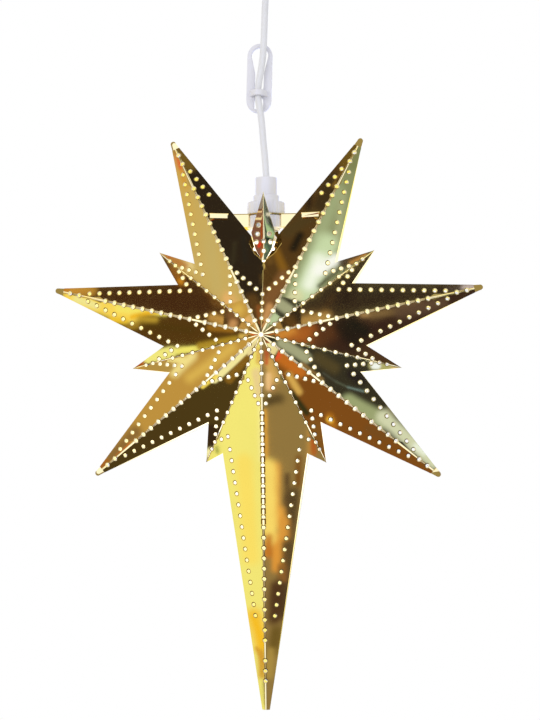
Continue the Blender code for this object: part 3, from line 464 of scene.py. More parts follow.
def smooth_route(points: list[tuple], step: float) -> list[Vector]:
    """Points at an even step along a smooth curve through the waypoints."""
    route = [Vector(point) for point in points]
    padded = [2 * route[0] - route[1]] + route + [2 * route[-1] - route[-2]]
    fine = []
    for a, b, c, d in zip(padded, padded[1:], padded[2:], padded[3:]):
        for part in range(ROUTE_STEPS):
            t = part / ROUTE_STEPS
            bend = (2 * a - 5 * b + 4 * c - d) * t**2 + (3 * b - a - 3 * c + d) * t**3
            fine.append(0.5 * (2 * b + (c - a) * t + bend))
    fine.append(route[-1])
    lengths = [0.0]
    for a, b in zip(fine, fine[1:]):
        lengths.append(lengths[-1] + (b - a).length)
    count = max(2, round(lengths[-1] / step))
    even, at = [], 0
    for number in range(count):
        wanted = lengths[-1] * number / count
        while lengths[at + 1] < wanted:
            at += 1
        share = (wanted - lengths[at]) / (lengths[at + 1] - lengths[at])
        even.append(fine[at].lerp(fine[at + 1], share))
    return even + [route[-1]]


@dataclass(frozen=True)
class StarShape:
    """Sizes of the folded star in its plane and rising from it, as the CAD has them."""

    middle_z: float = -0.430
    half_gap: float = 0.00015
    rays: int = 7
    sheet: float = 0.0005
    fold_rise: float = 0.052
    long_cut: Point = (0.219, 0.0039)
    lower_cut: Point = (0.381, 0.0036)
    short_ray: float = 0.143
    notch: Point = (0.1042, radians(7.65))
    lower_notch: Point = (0.1267, radians(5.84))
    tongue_reach: float = 0.0090
    tongue_half: float = 0.0028
    point_height: float = 0.0700
    point_half_width: float = 0.0122
    point_corner: float = 0.0280
    point_lean: float = 0.0060
    point_low: Point = (0.0088, 0.0120)
    point_fold: float = 0.0035
    slit_bottom: float = 0.0770
    slit_hinge_half: float = 0.0026
    slit_middle: Point = (0.0093, 0.0120)
    bridge_top: float = 0.1268
    tab_x: float = 0.0472
    slot_half: float = 0.0094
    slot_height: float = 0.0018


@dataclass(frozen=True)
class Piercing:
    """Sizes of the punched holes, slits and folds, of the painted shade beside the slits, and their
    rows in the plane of the star.
    """

    radius: float = 0.0020
    sides: int = 14
    lip: float = 0.0008
    sink: float = 0.00022
    lip_tilt: float = radians(28)
    fold_half: float = 0.0010
    sharp_half: float = 0.0003
    fold_taper: float = 0.007
    fold_lines: Point = (0.5, 1.0)
    ridge_inner: tuple[float, ...] = (0.0155, 0.0265, 0.0377, 0.0489, 0.0600)
    ridge_start: float = 0.0765
    ridge_pitch: float = 0.01045
    ridge_count: int = 10
    ridge_outer: tuple[float, ...] = (0.2005, 0.2110)
    lower_inner: tuple[float, ...] = (0.0088, 0.0170, 0.0279, 0.0388, 0.0499, 0.0607)
    lower_start: float = 0.0781
    lower_pitch: float = 0.0105
    lower_count: int = 23
    lower_outer: tuple[float, ...] = (0.3301, 0.3406, 0.3511)
    valley_rows: tuple[float, ...] = (0.0164, 0.0241, 0.0324, 0.0413)
    valley_outer_start: float = 0.0521
    valley_outer_pitch: float = 0.01125
    valley_outer_count: int = 5
    zigzag_count: int = 4
    zigzag_step: Point = (-0.00785, 0.00357)
    edge_start: float = -0.0132
    edge_pitch: float = 0.0108
    edge_count: int = 11
    edge_inset: float = 0.0068
    edge_first_step: float = 0.0134
    lower_edge_start: float = -0.0160
    lower_edge_pitch: float = 0.0114
    lower_edge_count: int = 17
    lower_edge_inset: float = 0.0083
    short_row_count: int = 3
    lower_short_row_count: int = 1
    side_vertex: float = 0.1195
    side_tip: float = 0.1275
    upper_row_clear: float = 0.0180
    hole_dark: float = 0.5
    # Each slit, and the painted shade: a dark band beside it that stands in for the shade in its
    # opening.
    slit_half: float = 0.0001
    slit_painted_shade: float = 0.0004
    slit_web: float = 0.0009
    slit_longest_gap: float = 0.0125
    slit_shortest_gap: float = 0.0075
    slit_fade: float = 0.0002
    wide_slit_half: float = 0.0011
    wide_slit_painted_shade: float = 0.0015
    wide_slit_web: Point = (0.0008, 0.0003)
    hub: float = 0.0024
    wide_slit_end: float = 0.2020


@dataclass
class Slit:
    """A slit along a fold: its ends, half width, and the width of the painted shade beside it, also
    at its far end.
    """

    fold: "Fold"
    low: float
    high: float
    half: float
    dark: float
    far_painted_shade: float
    end_slope: float = 0.4

    def outline(self, grow: float = 0.0) -> list[Vector]:
        """Half the slit's outline on one leaf, grown by a width."""
        half = self.half + grow
        slope = self.end_slope * half
        low, high = self.low - grow, self.high + min(grow, self.far_painted_shade)
        shape = ((low, 0), (low + slope, half), (high - slope, half), (high, 0))
        return [self.fold.run * along + self.fold.inward * across for along, across in shape]

    def covers(self, spot: Vector, grow: float = 0.0) -> bool:
        """Whether a spot of the leaf lies in the slit, grown by a width."""
        along, across = spot.dot(self.fold.run), abs(spot.dot(self.fold.inward))
        half = self.half + grow
        to_end = min(along - self.low + grow, self.high + min(grow, self.far_painted_shade) - along)
        return to_end > 0 and across < half * min(1.0, to_end / (self.end_slope * half))


@dataclass
class Fold:
    """A rounded fold along one side of a leaf, running from the leaf's origin."""

    run: Vector
    inward: Vector
    bisector: Vector
    ridge: bool
    end: float
    half: float
    taper: float
    start: float = 0.0

    def width(self, along: float) -> float:
        """How far the rounding reaches into the leaf at a distance along the fold."""
        return self.half * min(1.0, max(0.0, along / self.taper))


@dataclass
class Leaf:
    """One flat piece of sheet between folds, with its outline, folds and openings."""

    origin: Vector
    right: Vector
    up: Vector
    normal: Vector
    outline: list[Vector]
    folds: list[Fold]
    circles: list[Vector]
    loops: list[list[Vector]]
    piercing: Piercing
    slits: list[Slit] = field(default_factory=list)

    def lift(self, spot: Vector) -> tuple[Vector, Vector, float]:
        """The place of a spot of the leaf in space.

        Args:
            spot: A spot in the leaf's own plane.

        Returns:
            Its place, the direction that its surface faces, and its share of the dark colour: how
            near a punched edge it is, and full beside a slit, where the shade is painted.
        """
        place = self.origin + self.right * spot.x + self.up * spot.y
        aim = self.normal
        for fold in self.folds:
            along, across = spot.dot(fold.run), spot.dot(fold.inward)
            width = fold.width(along)
            if width < WELD or across > width - WELD:
                continue
            place, aim = self.bend(fold, along, max(0.0, across), width)
        punched_and_slit_shade = 0.0
        reach = self.piercing.radius + self.piercing.lip
        for centre in self.circles:
            offset = centre - spot
            if offset.length < reach - WELD:
                punched_and_slit_shade = min(1.0, (reach - offset.length) / self.piercing.lip)
                inward = (self.right * offset.x + self.up * offset.y).normalized()
                inward = (inward - inward.dot(aim) * aim).normalized()
                place = place - aim * (self.piercing.sink * punched_and_slit_shade**2)
                tilt = self.piercing.lip_tilt * punched_and_slit_shade
                aim = (aim * cos(tilt) + inward * sin(tilt)).normalized()
                punched_and_slit_shade *= self.piercing.hole_dark
                break
        # Painted shade: a dark band along each slit, for the shade in its opening.
        for slit in self.slits:
            if slit.covers(spot, slit.dark + self.piercing.slit_fade / 2):
                punched_and_slit_shade = 1.0
        return place, aim, punched_and_slit_shade

    def bend(self, fold: Fold, along: float, across: float, width: float) -> tuple[Vector, Vector]:
        """Place and aim of a spot on the round of a fold."""
        run = self.right * fold.run.x + self.up * fold.run.y
        side = self.right * fold.inward.x + self.up * fold.inward.y
        side = (side - side.dot(fold.bisector) * fold.bisector).normalized()
        half_angle = acos(min(1.0, self.normal.dot(fold.bisector)))
        radius = width / tan(half_angle)
        turn = half_angle * across / width
        sign = 1.0 if fold.ridge else -1.0
        depth = radius * (cos(turn) - 1.0 / cos(half_angle)) * sign
        place = self.origin + run * along + fold.bisector * depth + side * (radius * sin(turn))
        aim = fold.bisector * cos(turn) + side * (sin(turn) * sign)
        return place, aim.normalized()

    def ring(self, centre: Vector, radius: float) -> list[Vector]:
        """A regular outline round a hole's centre, lined up with the leaf's first fold."""
        axis = self.folds[0].run if self.folds else Vector((1, 0))
        for fold in self.folds:
            if abs(centre.dot(fold.inward)) < WELD:
                axis = fold.run
        square = Vector((-axis.y, axis.x))
        turns = [2 * pi * k / self.piercing.sides for k in range(self.piercing.sides)]
        return [centre + radius * (cos(t) * axis + sin(t) * square) for t in turns]

    def fill(self, work: bmesh.types.BMesh, back: int = LIT) -> None:
        """Adds the leaf's triangles to a sheet, with its openings left open.

        Args:
            work: The sheet, with layers for each vertex's aim and its share of the dark colour of
                punched edges and painted slit shade.
            back: Number of the finish of its back, LIT for the painted lamp glow and SHADED for
                painted shade.
        """
        rings = [self.ring(c, self.piercing.radius) for c in self.circles]
        lips = [self.ring(c, self.piercing.radius + self.piercing.lip) for c in self.circles]
        points, edges = [], []
        for loop in [self.outline, *self.loops, *rings, *lips]:
            first = len(points)
            points += loop
            edges += [(first + k, first + (k + 1) % len(loop)) for k in range(len(loop))]
        lines = [
            slit.outline(slit.dark + fade) for slit in self.slits
            for fade in (0.0, self.piercing.slit_fade)
        ]
        for fold in self.folds:
            for share in self.piercing.fold_lines:
                stops = (fold.start, fold.taper, fold.end)
                lines.append([
                    fold.run * stop + fold.inward * (fold.width(stop) * share) for stop in stops
                ])
        for line in lines:
            first = len(points)
            points += line
            edges += [(first + k, first + k + 1) for k in range(len(line) - 1)]
        made, _, triangles, *_ = delaunay_2d_cdt(
            points, edges, [list(range(len(self.outline)))], 1, TOUCH,
        )
        aims = work.verts.layers.float_vector["aim"]
        shares = work.verts.layers.float["punched_and_slit_shade"]
        verts = {}
        for triangle in triangles:
            centre = sum((made[k] for k in triangle), Vector((0, 0))) / 3
            if any((centre - hole).length < self.piercing.radius for hole in self.circles):
                continue
            if any(inside(centre, loop) for loop in self.loops):
                continue
            if any(slit.covers(centre) for slit in self.slits):
                continue
            for k in triangle:
                if k not in verts:
                    place, aim, punched_and_slit_shade = self.lift(made[k])
                    verts[k] = work.verts.new(place)
                    verts[k][aims] = aim
                    verts[k][shares] = punched_and_slit_shade
            work.faces.new([verts[k] for k in triangle]).material_index = back


def inside(spot: Vector, loop: list[Vector]) -> bool:
    """Whether a spot lies in a convex outline."""
    sides = [(b - a).cross(spot - a) for a, b in zip(loop, loop[1:] + loop[:1])]
    return all(side > 0 for side in sides) or all(side < 0 for side in sides)


class Facet:
    """One flat facet of a sheet: from the middle, along a long ray, to the short ray beside it."""

    def __init__(self, shape: StarShape, ray: int, side: int, facing: int) -> None:
        """Works out the facet's plane.

        Args:
            shape: The star's sizes.
            ray: Number of its long ray, counted from the lowest one.
            side: 1 for the side that comes next in the count, or -1.
            facing: -1 for the front sheet and 1 for the back one.
        """
        self.shape, self.side, self.facing = shape, side, facing
        self.ray = ray % shape.rays
        self.lower = self.ray == 0
        self.angle = -pi / 2 + 2 * pi * self.ray / shape.rays
        self.hand = 1 if cos(self.angle) > 0 else -1
        half_way = shape.rays // 2
        self.upper = (self.ray == half_way and side > 0) or (self.ray == half_way + 1 and side < 0)
        self.cut, self.cut_half = shape.lower_cut if self.lower else shape.long_cut
        half_step = pi / shape.rays
        self.axis = Vector((cos(half_step), sin(half_step)))
        along, across = shape.short_ray * self.axis
        self.fall_across = (1 - along / self.cut) / (across - along * self.cut_half / self.cut)
        self.fall_along = (1 - self.fall_across * self.cut_half) / self.cut
        radius, turn = shape.lower_notch if self.lower else shape.notch
        self.notch = radius * Vector((cos(half_step - turn), sin(half_step - turn)))
        self.tip = Vector((along, across))
        self.middle = self.at(0, 0)
        self.fold = (self.at(self.cut, 0) - self.middle).normalized()
        away = self.at(*self.tip) - self.middle
        self.square = (away - away.dot(self.fold) * self.fold).normalized()
        out = self.fold.cross(self.square)
        self.normal = out if out.y * facing > 0 else -out

    def at(self, along: float, across: float) -> Vector:
        """The point of the facet's inner face over a place in the plane of the star."""
        rise = self.shape.fold_rise * (1 - self.fall_along * along - self.fall_across * across)
        turn = self.side * across
        x = along * cos(self.angle) - turn * sin(self.angle)
        z = along * sin(self.angle) + turn * cos(self.angle)
        return Vector((x, self.facing * (self.shape.half_gap + rise), self.shape.middle_z + z))

    def over(self, x: float, height: float) -> Vector:
        """The facet's point over a sideways place and a height above the middle of the star."""
        along = x * cos(self.angle) + height * sin(self.angle)
        across = (height * cos(self.angle) - x * sin(self.angle)) * self.side
        return self.at(along, across)

    def flat(self, point: Vector) -> Vector:
        """A point of the facet in the facet's own plane."""
        offset = point - self.middle
        return Vector((offset.dot(self.fold), offset.dot(self.square)))

    def spot(self, along: float, across: float) -> Vector:
        """A place in the plane of the star, in the facet's own plane."""
        return self.flat(self.at(along, across))

    def neighbour(self, over_ridge: bool) -> "Facet":
        """The facet beyond the ridge or the valley."""
        ray = self.ray if over_ridge else self.ray + self.side
        return Facet(self.shape, ray, -self.side, self.facing)

    def folds(self, piercing: Piercing) -> list[Fold]:
        """The facet's ridge and valley."""
        ridge_aim = (self.normal + self.neighbour(True).normal).normalized()
        valley_aim = (self.normal + self.neighbour(False).normal).normalized()
        tip = self.spot(*self.tip)
        if self.upper:
            tip = self.flat(self.over(0, self.shape.slit_bottom))
        run = tip.normalized()
        half, taper = piercing.fold_half, piercing.fold_taper
        valley = piercing.sharp_half if self.upper else half
        end = self.spot(self.cut, 0).x
        square, hub = Vector((run.y, -run.x)), piercing.hub
        return [
            Fold(Vector((1, 0)), Vector((0, 1)), ridge_aim, True, end, half, taper, hub),
            Fold(run, square, valley_aim, False, tip.length, valley, taper, hub),
        ]

    def edge_spot(self, along: float, inset: float) -> Vector:
        """A place beside the long ray's edge, measured from the notch, in the plane of the star."""
        edge = (Vector((self.cut, self.cut_half)) - self.notch).normalized()
        return self.notch + edge * along + Vector((edge.y, -edge.x)) * inset

    def ridge_row(self, p: Piercing) -> list[float]:
        """Distances of the ridge's holes from the middle of the star."""
        if self.lower:
            row = [p.lower_start + p.lower_pitch * k for k in range(p.lower_count)]
            return [*p.lower_inner, *row, *p.lower_outer]
        row = [p.ridge_start + p.ridge_pitch * k for k in range(p.ridge_count)]
        return [*p.ridge_inner, *row, *p.ridge_outer]

    def valley_row(self, p: Piercing) -> list[float]:
        """Distances of the valley's holes from the middle of the star."""
        if self.upper:
            return [*p.valley_rows, self.shape.slit_bottom]
        row = [p.valley_outer_start + p.valley_outer_pitch * k for k in range(p.valley_outer_count)]
        return [*p.valley_rows, *row, p.side_vertex, p.side_tip]

    def hole_places(self, p: Piercing) -> list[Vector]:
        """Centres of all the facet's holes, in the plane of the star."""
        places = [Vector((along, 0)) for along in self.ridge_row(p)]
        places += [self.axis * radius for radius in self.valley_row(p)]
        start = Vector((p.ridge_start, 0))
        places += [start + Vector(p.zigzag_step) * (k + 1) for k in range(p.zigzag_count)]
        places += self.edge_places(p)
        return places

    def edge_places(self, p: Piercing) -> list[Vector]:
        """Centres of the rows along the long ray's edge and beside the short ray's edge."""
        if self.lower:
            start, inset = p.lower_edge_start, p.lower_edge_inset
            between = p.lower_short_row_count
            pitch, count, first_step = p.lower_edge_pitch, p.lower_edge_count, p.edge_first_step
            steps = [first_step + pitch * k for k in range(count - 1)]
        else:
            start, inset, between = p.edge_start, p.edge_inset, p.short_row_count
            steps = [p.edge_pitch * (k + 1) for k in range(p.edge_count - 1)]
        first = self.edge_spot(start, inset)
        row = [first] + [self.edge_spot(start + step, inset) for step in steps]
        if self.upper:
            clear = self.shape.bridge_top + p.upper_row_clear
            return [spot for spot in row if self.at(*spot).z - self.shape.middle_z > clear]
        vertex = self.axis * p.side_vertex
        shares = [(k + 1) / (between + 1) for k in range(between)]
        return row + [vertex.lerp(first, share) for share in shares]

    def bridge_slot(self) -> list[Vector]:
        """Outline of the slot for a bridge tab, in the facet's own plane."""
        shape = self.shape
        near, far = shape.tab_x - shape.slot_half, shape.tab_x + shape.slot_half
        top = shape.bridge_top + 2 * shape.half_gap
        low = top - shape.slot_height
        corners = ((near, top), (far, top), (far, low), (near, low))
        return [self.flat(self.over(self.hand * x, height)) for x, height in corners]

    def leaf(self, piercing: Piercing) -> Leaf:
        """The facet as a leaf of the sheet."""
        shape = self.shape
        folds = self.folds(piercing)
        corners = [folds[0].run * piercing.hub, self.spot(self.cut, 0)]
        corners += [self.spot(self.cut, self.cut_half), self.spot(*self.notch)]
        loops = []
        if self.upper:
            side = self.hand
            x, rise = shape.slit_middle
            hinge = shape.slit_hinge_half
            bend = [(x, rise), (hinge, hinge / 2), (0, 0)]
            bend = [self.flat(self.over(side * x, shape.slit_bottom + rise)) for x, rise in bend]
            corners += rounded_out(corners[-1], bend[0], bend[1], piercing.radius) + bend[1:]
            loops.append(self.bridge_slot())
        else:
            corners.append(self.spot(*self.tip))
        corners.append(folds[1].run * piercing.hub)
        circles = [self.spot(*place) for place in self.hole_places(piercing)]
        leaf = Leaf(
            self.middle, self.fold, self.square, self.normal, [], folds, circles,
            loops, piercing,
        )
        leaf.slits = self.slits(folds, piercing)
        leaf.outline = bitten(leaf, corners)
        return leaf

    def slits(self, folds: list[Fold], p: Piercing) -> list[Slit]:
        """The slits between the holes on the two folds.

        Args:
            folds: The ridge and the valley.
            p: Sizes of the piercing.

        Returns:
            The slits.
        """
        made = []
        rows = [[Vector((along, 0)) for along in self.ridge_row(p)]]
        rows.append([self.axis * radius for radius in self.valley_row(p)])
        for fold, row in zip(folds, rows):
            stops = sorted(self.spot(*place).dot(fold.run) for place in row)
            for a, b in zip(stops, stops[1:]):
                if not p.slit_shortest_gap < b - a < p.slit_longest_gap:
                    continue
                webs = (p.slit_web, p.slit_web)
                sizes = (p.slit_half, p.slit_painted_shade, p.slit_painted_shade + p.slit_fade)
                if self.lower and fold.ridge and p.lower_start < b < p.wide_slit_end:
                    webs = p.wide_slit_web
                    sizes = (p.wide_slit_half, p.wide_slit_painted_shade, p.slit_half)
                low, high = a + p.radius + webs[0], b - p.radius - webs[1]
                made.append(Slit(fold, low, high, *sizes))
        return made


def rounded_out(before: Vector, corner: Vector, after: Vector, radius: float) -> list[Vector]:
    """A round bite out of an outline's corner, which runs on the side of its larger angle.

    Args:
        before: The corner before it.
        corner: The corner itself.
        after: The corner after it.
        radius: The bite's radius.

    Returns:
        The bite's points, from the first side to the second one.
    """
    start = (before - corner).normalized()
    sweep = -start.angle_signed((after - corner).normalized())
    sweep += -2 * pi if sweep > 0 else 2 * pi
    points = []
    for k in range(BITE_STEPS + 1):
        turn = sweep * k / BITE_STEPS
        x = start.x * cos(turn) - start.y * sin(turn)
        y = start.x * sin(turn) + start.y * cos(turn)
        points.append(corner + Vector((x, y)) * radius)
    return points


def bitten(leaf: Leaf, corners: list[Vector]) -> list[Vector]:
    """The leaf's outline with half a circle bitten out where a hole sits on one of its folds.

    Args:
        leaf: The leaf, with its folds and circles.
        corners: The plain outline, which starts along the first fold.

    Returns:
        The outline's points.
    """
    radius = leaf.piercing.radius
    middle = sum(corners, Vector((0, 0))) / len(corners)
    outline = []
    for a, b in zip(corners, corners[1:] + corners[:1]):
        outline.append(a)
        run = (b - a).normalized()
        on_edge = []
        for centre in leaf.circles:
            along = (centre - a).dot(run)
            if abs((centre - a).cross(run)) > WELD or not radius < along < (b - a).length - radius:
                continue
            bite = [
                spot for spot in leaf.ring(centre, radius)
                if (spot - a).cross(run) * (middle - a).cross(run) >= -WELD**2
            ]
            on_edge.append((along, bite))
        for slit in leaf.slits:
            bite = slit.outline()
            if max(abs((bite[0] - a).cross(run)), abs((bite[-1] - a).cross(run))) < WELD:
                on_edge.append(((bite[0] - a).dot(run), bite))
        for _, bite in sorted(on_edge, key=lambda item: item[0]):
            outline += sorted(bite, key=lambda spot: (spot - a).dot(run))
    return outline


@dataclass
class FoldedSheet:
    """One pressed and folded star sheet, front or back."""

    name: str
    facing: int
    tongues: bool
    shape: StarShape = field(default_factory=StarShape)
    piercing: Piercing = field(default_factory=Piercing)
    point_holes: tuple[Point, ...] = ((0.0065, 0.1042), (0.0078, 0.0959))
    single_point_hole: Point = (-0.0054, 0.1133)
    point_ridge_holes: tuple[float, ...] = (0.0100, 0.0200)
    tongue_spread: float = 0.25
    tongue_steps: int = 12

    def point_leaf(self, side: int) -> Leaf:
        """One half of the top short ray, which is bent upright in front of the lampholder.

        Args:
            side: 1 for the right half and -1 for the left one.

        Returns:
            The half as a leaf.
        """
        shape = self.shape
        half_way = shape.rays // 2
        facet = Facet(shape, half_way if side > 0 else half_way + 1, side, self.facing)
        foot = facet.over(0, shape.slit_bottom)
        tip = foot + Vector((0, self.facing * shape.point_lean, shape.point_height))
        share = shape.point_corner / shape.point_height
        middle_y = foot.y + self.facing * (shape.point_lean * share + shape.point_fold)
        corner = Vector((side * shape.point_half_width, middle_y, foot.z + shape.point_corner))
        hinge_half = shape.slit_hinge_half
        hinge = facet.over(side * hinge_half, shape.slit_bottom + hinge_half / 2)
        run = (tip - foot).normalized()
        away = corner - foot
        square = (away - away.dot(run) * run).normalized()
        out = run.cross(square)
        out = out if out.y * self.facing > 0 else -out
        mirrored = Vector((-out.x, out.y, out.z))

        def flat(point: Vector) -> Vector:
            """A point in the half's own plane."""
            return Vector(((point - foot).dot(run), (point - foot).dot(square)))

        holes = list(self.point_holes)
        if side * self.single_point_hole[0] > 0:
            holes.append((abs(self.single_point_hole[0]), self.single_point_hole[1]))
        circles = [Vector((height - shape.slit_bottom, x)) for x, height in holes]
        circles += [Vector((along, 0)) for along in self.point_ridge_holes]
        fold = Fold(
            Vector((1, 0)), Vector((0, 1)), (out + mirrored).normalized(), True,
            (tip - foot).length, self.piercing.fold_half / 2, self.piercing.fold_taper,
        )
        low = Vector(shape.point_low[::-1])
        corners = [Vector((0, 0)), flat(tip), flat(corner), low, flat(hinge)]
        leaf = Leaf(foot, run, square, out, [], [fold], circles, [], self.piercing)
        leaf.outline = bitten(leaf, corners)
        return leaf

    def add_tongue(self, work: bmesh.types.BMesh, ray: int) -> None:
        """Adds the rounded flat tongue past the cut end of a long ray.

        Args:
            work: The sheet.
            ray: Number of the long ray.
        """
        facet = Facet(self.shape, ray, 1, self.facing)
        other = Facet(self.shape, ray, -1, self.facing)
        ridge = facet.at(facet.cut, 0)
        right, left = facet.at(facet.cut, facet.cut_half), other.at(facet.cut, facet.cut_half)
        out = facet.at(facet.cut + self.shape.tongue_reach, 0) - ridge
        out.y = 0
        out.normalize()
        across = (right - left).normalized()
        half = self.shape.tongue_half
        centre = (right + left) / 2 + out * (self.shape.tongue_reach - half)
        rim = arc((0, 0), half, 0, pi, self.tongue_steps)
        tip = [centre + x * across + y * out for x, y in rim]
        aims = work.verts.layers.float_vector["aim"]
        for corners in ([ridge, right, left], [left, right, *tip]):
            verts = [work.verts.new(corner) for corner in corners]
            for vert in verts:
                spread = self.tongue_spread * Vector((centre.x, 0, centre.z - self.shape.middle_z))
                vert[aims] = Vector((0, self.facing, 0)) + spread
            work.faces.new(verts).material_index = OUTSIDE

    def build(self) -> bpy.types.Object:
        """Makes the sheet.

        Returns:
            The sheet's object, which stands for its CAD node.
        """
        work = bmesh.new()
        work.verts.layers.float_vector.new("aim")
        work.verts.layers.float.new("punched_and_slit_shade")
        for ray in range(self.shape.rays):
            for side in (-1, 1):
                Facet(self.shape, ray, side, self.facing).leaf(self.piercing).fill(work)
            if self.tongues and ray:
                self.add_tongue(work, ray)
        for side in (-1, 1):
            # The bent ray's back gets the darker brass copy, a painted shade.
            self.point_leaf(side).fill(work, back=SHADED)
        mesh = thickened(work, self.name, self.shape.sheet)
        finishes = [BRASS, LIT_BRASS, SHADED_BRASS]
        return finished(self.name, mesh, finishes, Body.STAR, Slot.BRASS, self.name)


def thickened(work: bmesh.types.BMesh, name: str, sheet: float) -> bpy.types.Mesh:
    """Gives a surface its sheet thickness, outwards along each vertex's aim.

    Args:
        work: The surface, with an aim for each vertex, which is freed.
        name: The mesh's name.
        sheet: The thickness.

    Returns:
        A mesh whose outer face and rims have the first material, and its inner face its own one.
    """
    aims = work.verts.layers.float_vector["aim"]
    shares = work.verts.layers.float["punched_and_slit_shade"]
    bmesh.ops.remove_doubles(work, verts=work.verts, dist=WELD)
    work.verts.index_update()
    work.faces.index_update()
    count = len(work.verts)
    aim = [Vector(vert[aims]).normalized() for vert in work.verts]
    points = [vert.co + aim[vert.index] * sheet for vert in work.verts]
    points += [vert.co.copy() for vert in work.verts]
    faces, materials, corner_aims = [], [], []
    turned_over = {}
    backs = [face.material_index for face in work.faces]
    for face in work.faces:
        corners = [vert.index for vert in face.verts]
        outward = sum((aim[k] for k in corners), Vector()).dot(face.normal) > 0
        corners = corners if outward else corners[::-1]
        turned_over[face.index] = corners
        faces.append(corners)
        materials.append(OUTSIDE)
        corner_aims += [aim[k] for k in corners]
    for corners, back in zip(list(faces), backs):
        faces.append([k + count for k in reversed(corners)])
        materials.append(back)
        corner_aims += [-aim[k] for k in reversed(corners)]
    for edge in work.edges:
        if len(edge.link_faces) != 1:
            continue
        corners = turned_over[edge.link_faces[0].index]
        a, b = (vert.index for vert in edge.verts)
        if corners[(corners.index(a) + 1) % len(corners)] != b:
            a, b = b, a
        rim = [b, a, a + count, b + count]
        side = (points[a] - points[b]).cross(points[a + count] - points[b])
        faces.append(rim)
        materials.append(OUTSIDE)
        corner_aims += [side.normalized() if side.length else Vector((0, 0, 1))] * 4
    punched_and_slit_shade = [vert[shares] for vert in work.verts] * 2
    work.free()
    mesh = bpy.data.meshes.new(name)
    mesh.from_pydata(points, [], faces)
    mesh.polygons.foreach_set("material_index", materials)
    mesh.attributes.new("punched_and_slit_shade", "FLOAT", "POINT").data.foreach_set("value", punched_and_slit_shade)
    mesh.shade_smooth()
    mesh.normals_split_custom_set(corner_aims)
    return mesh


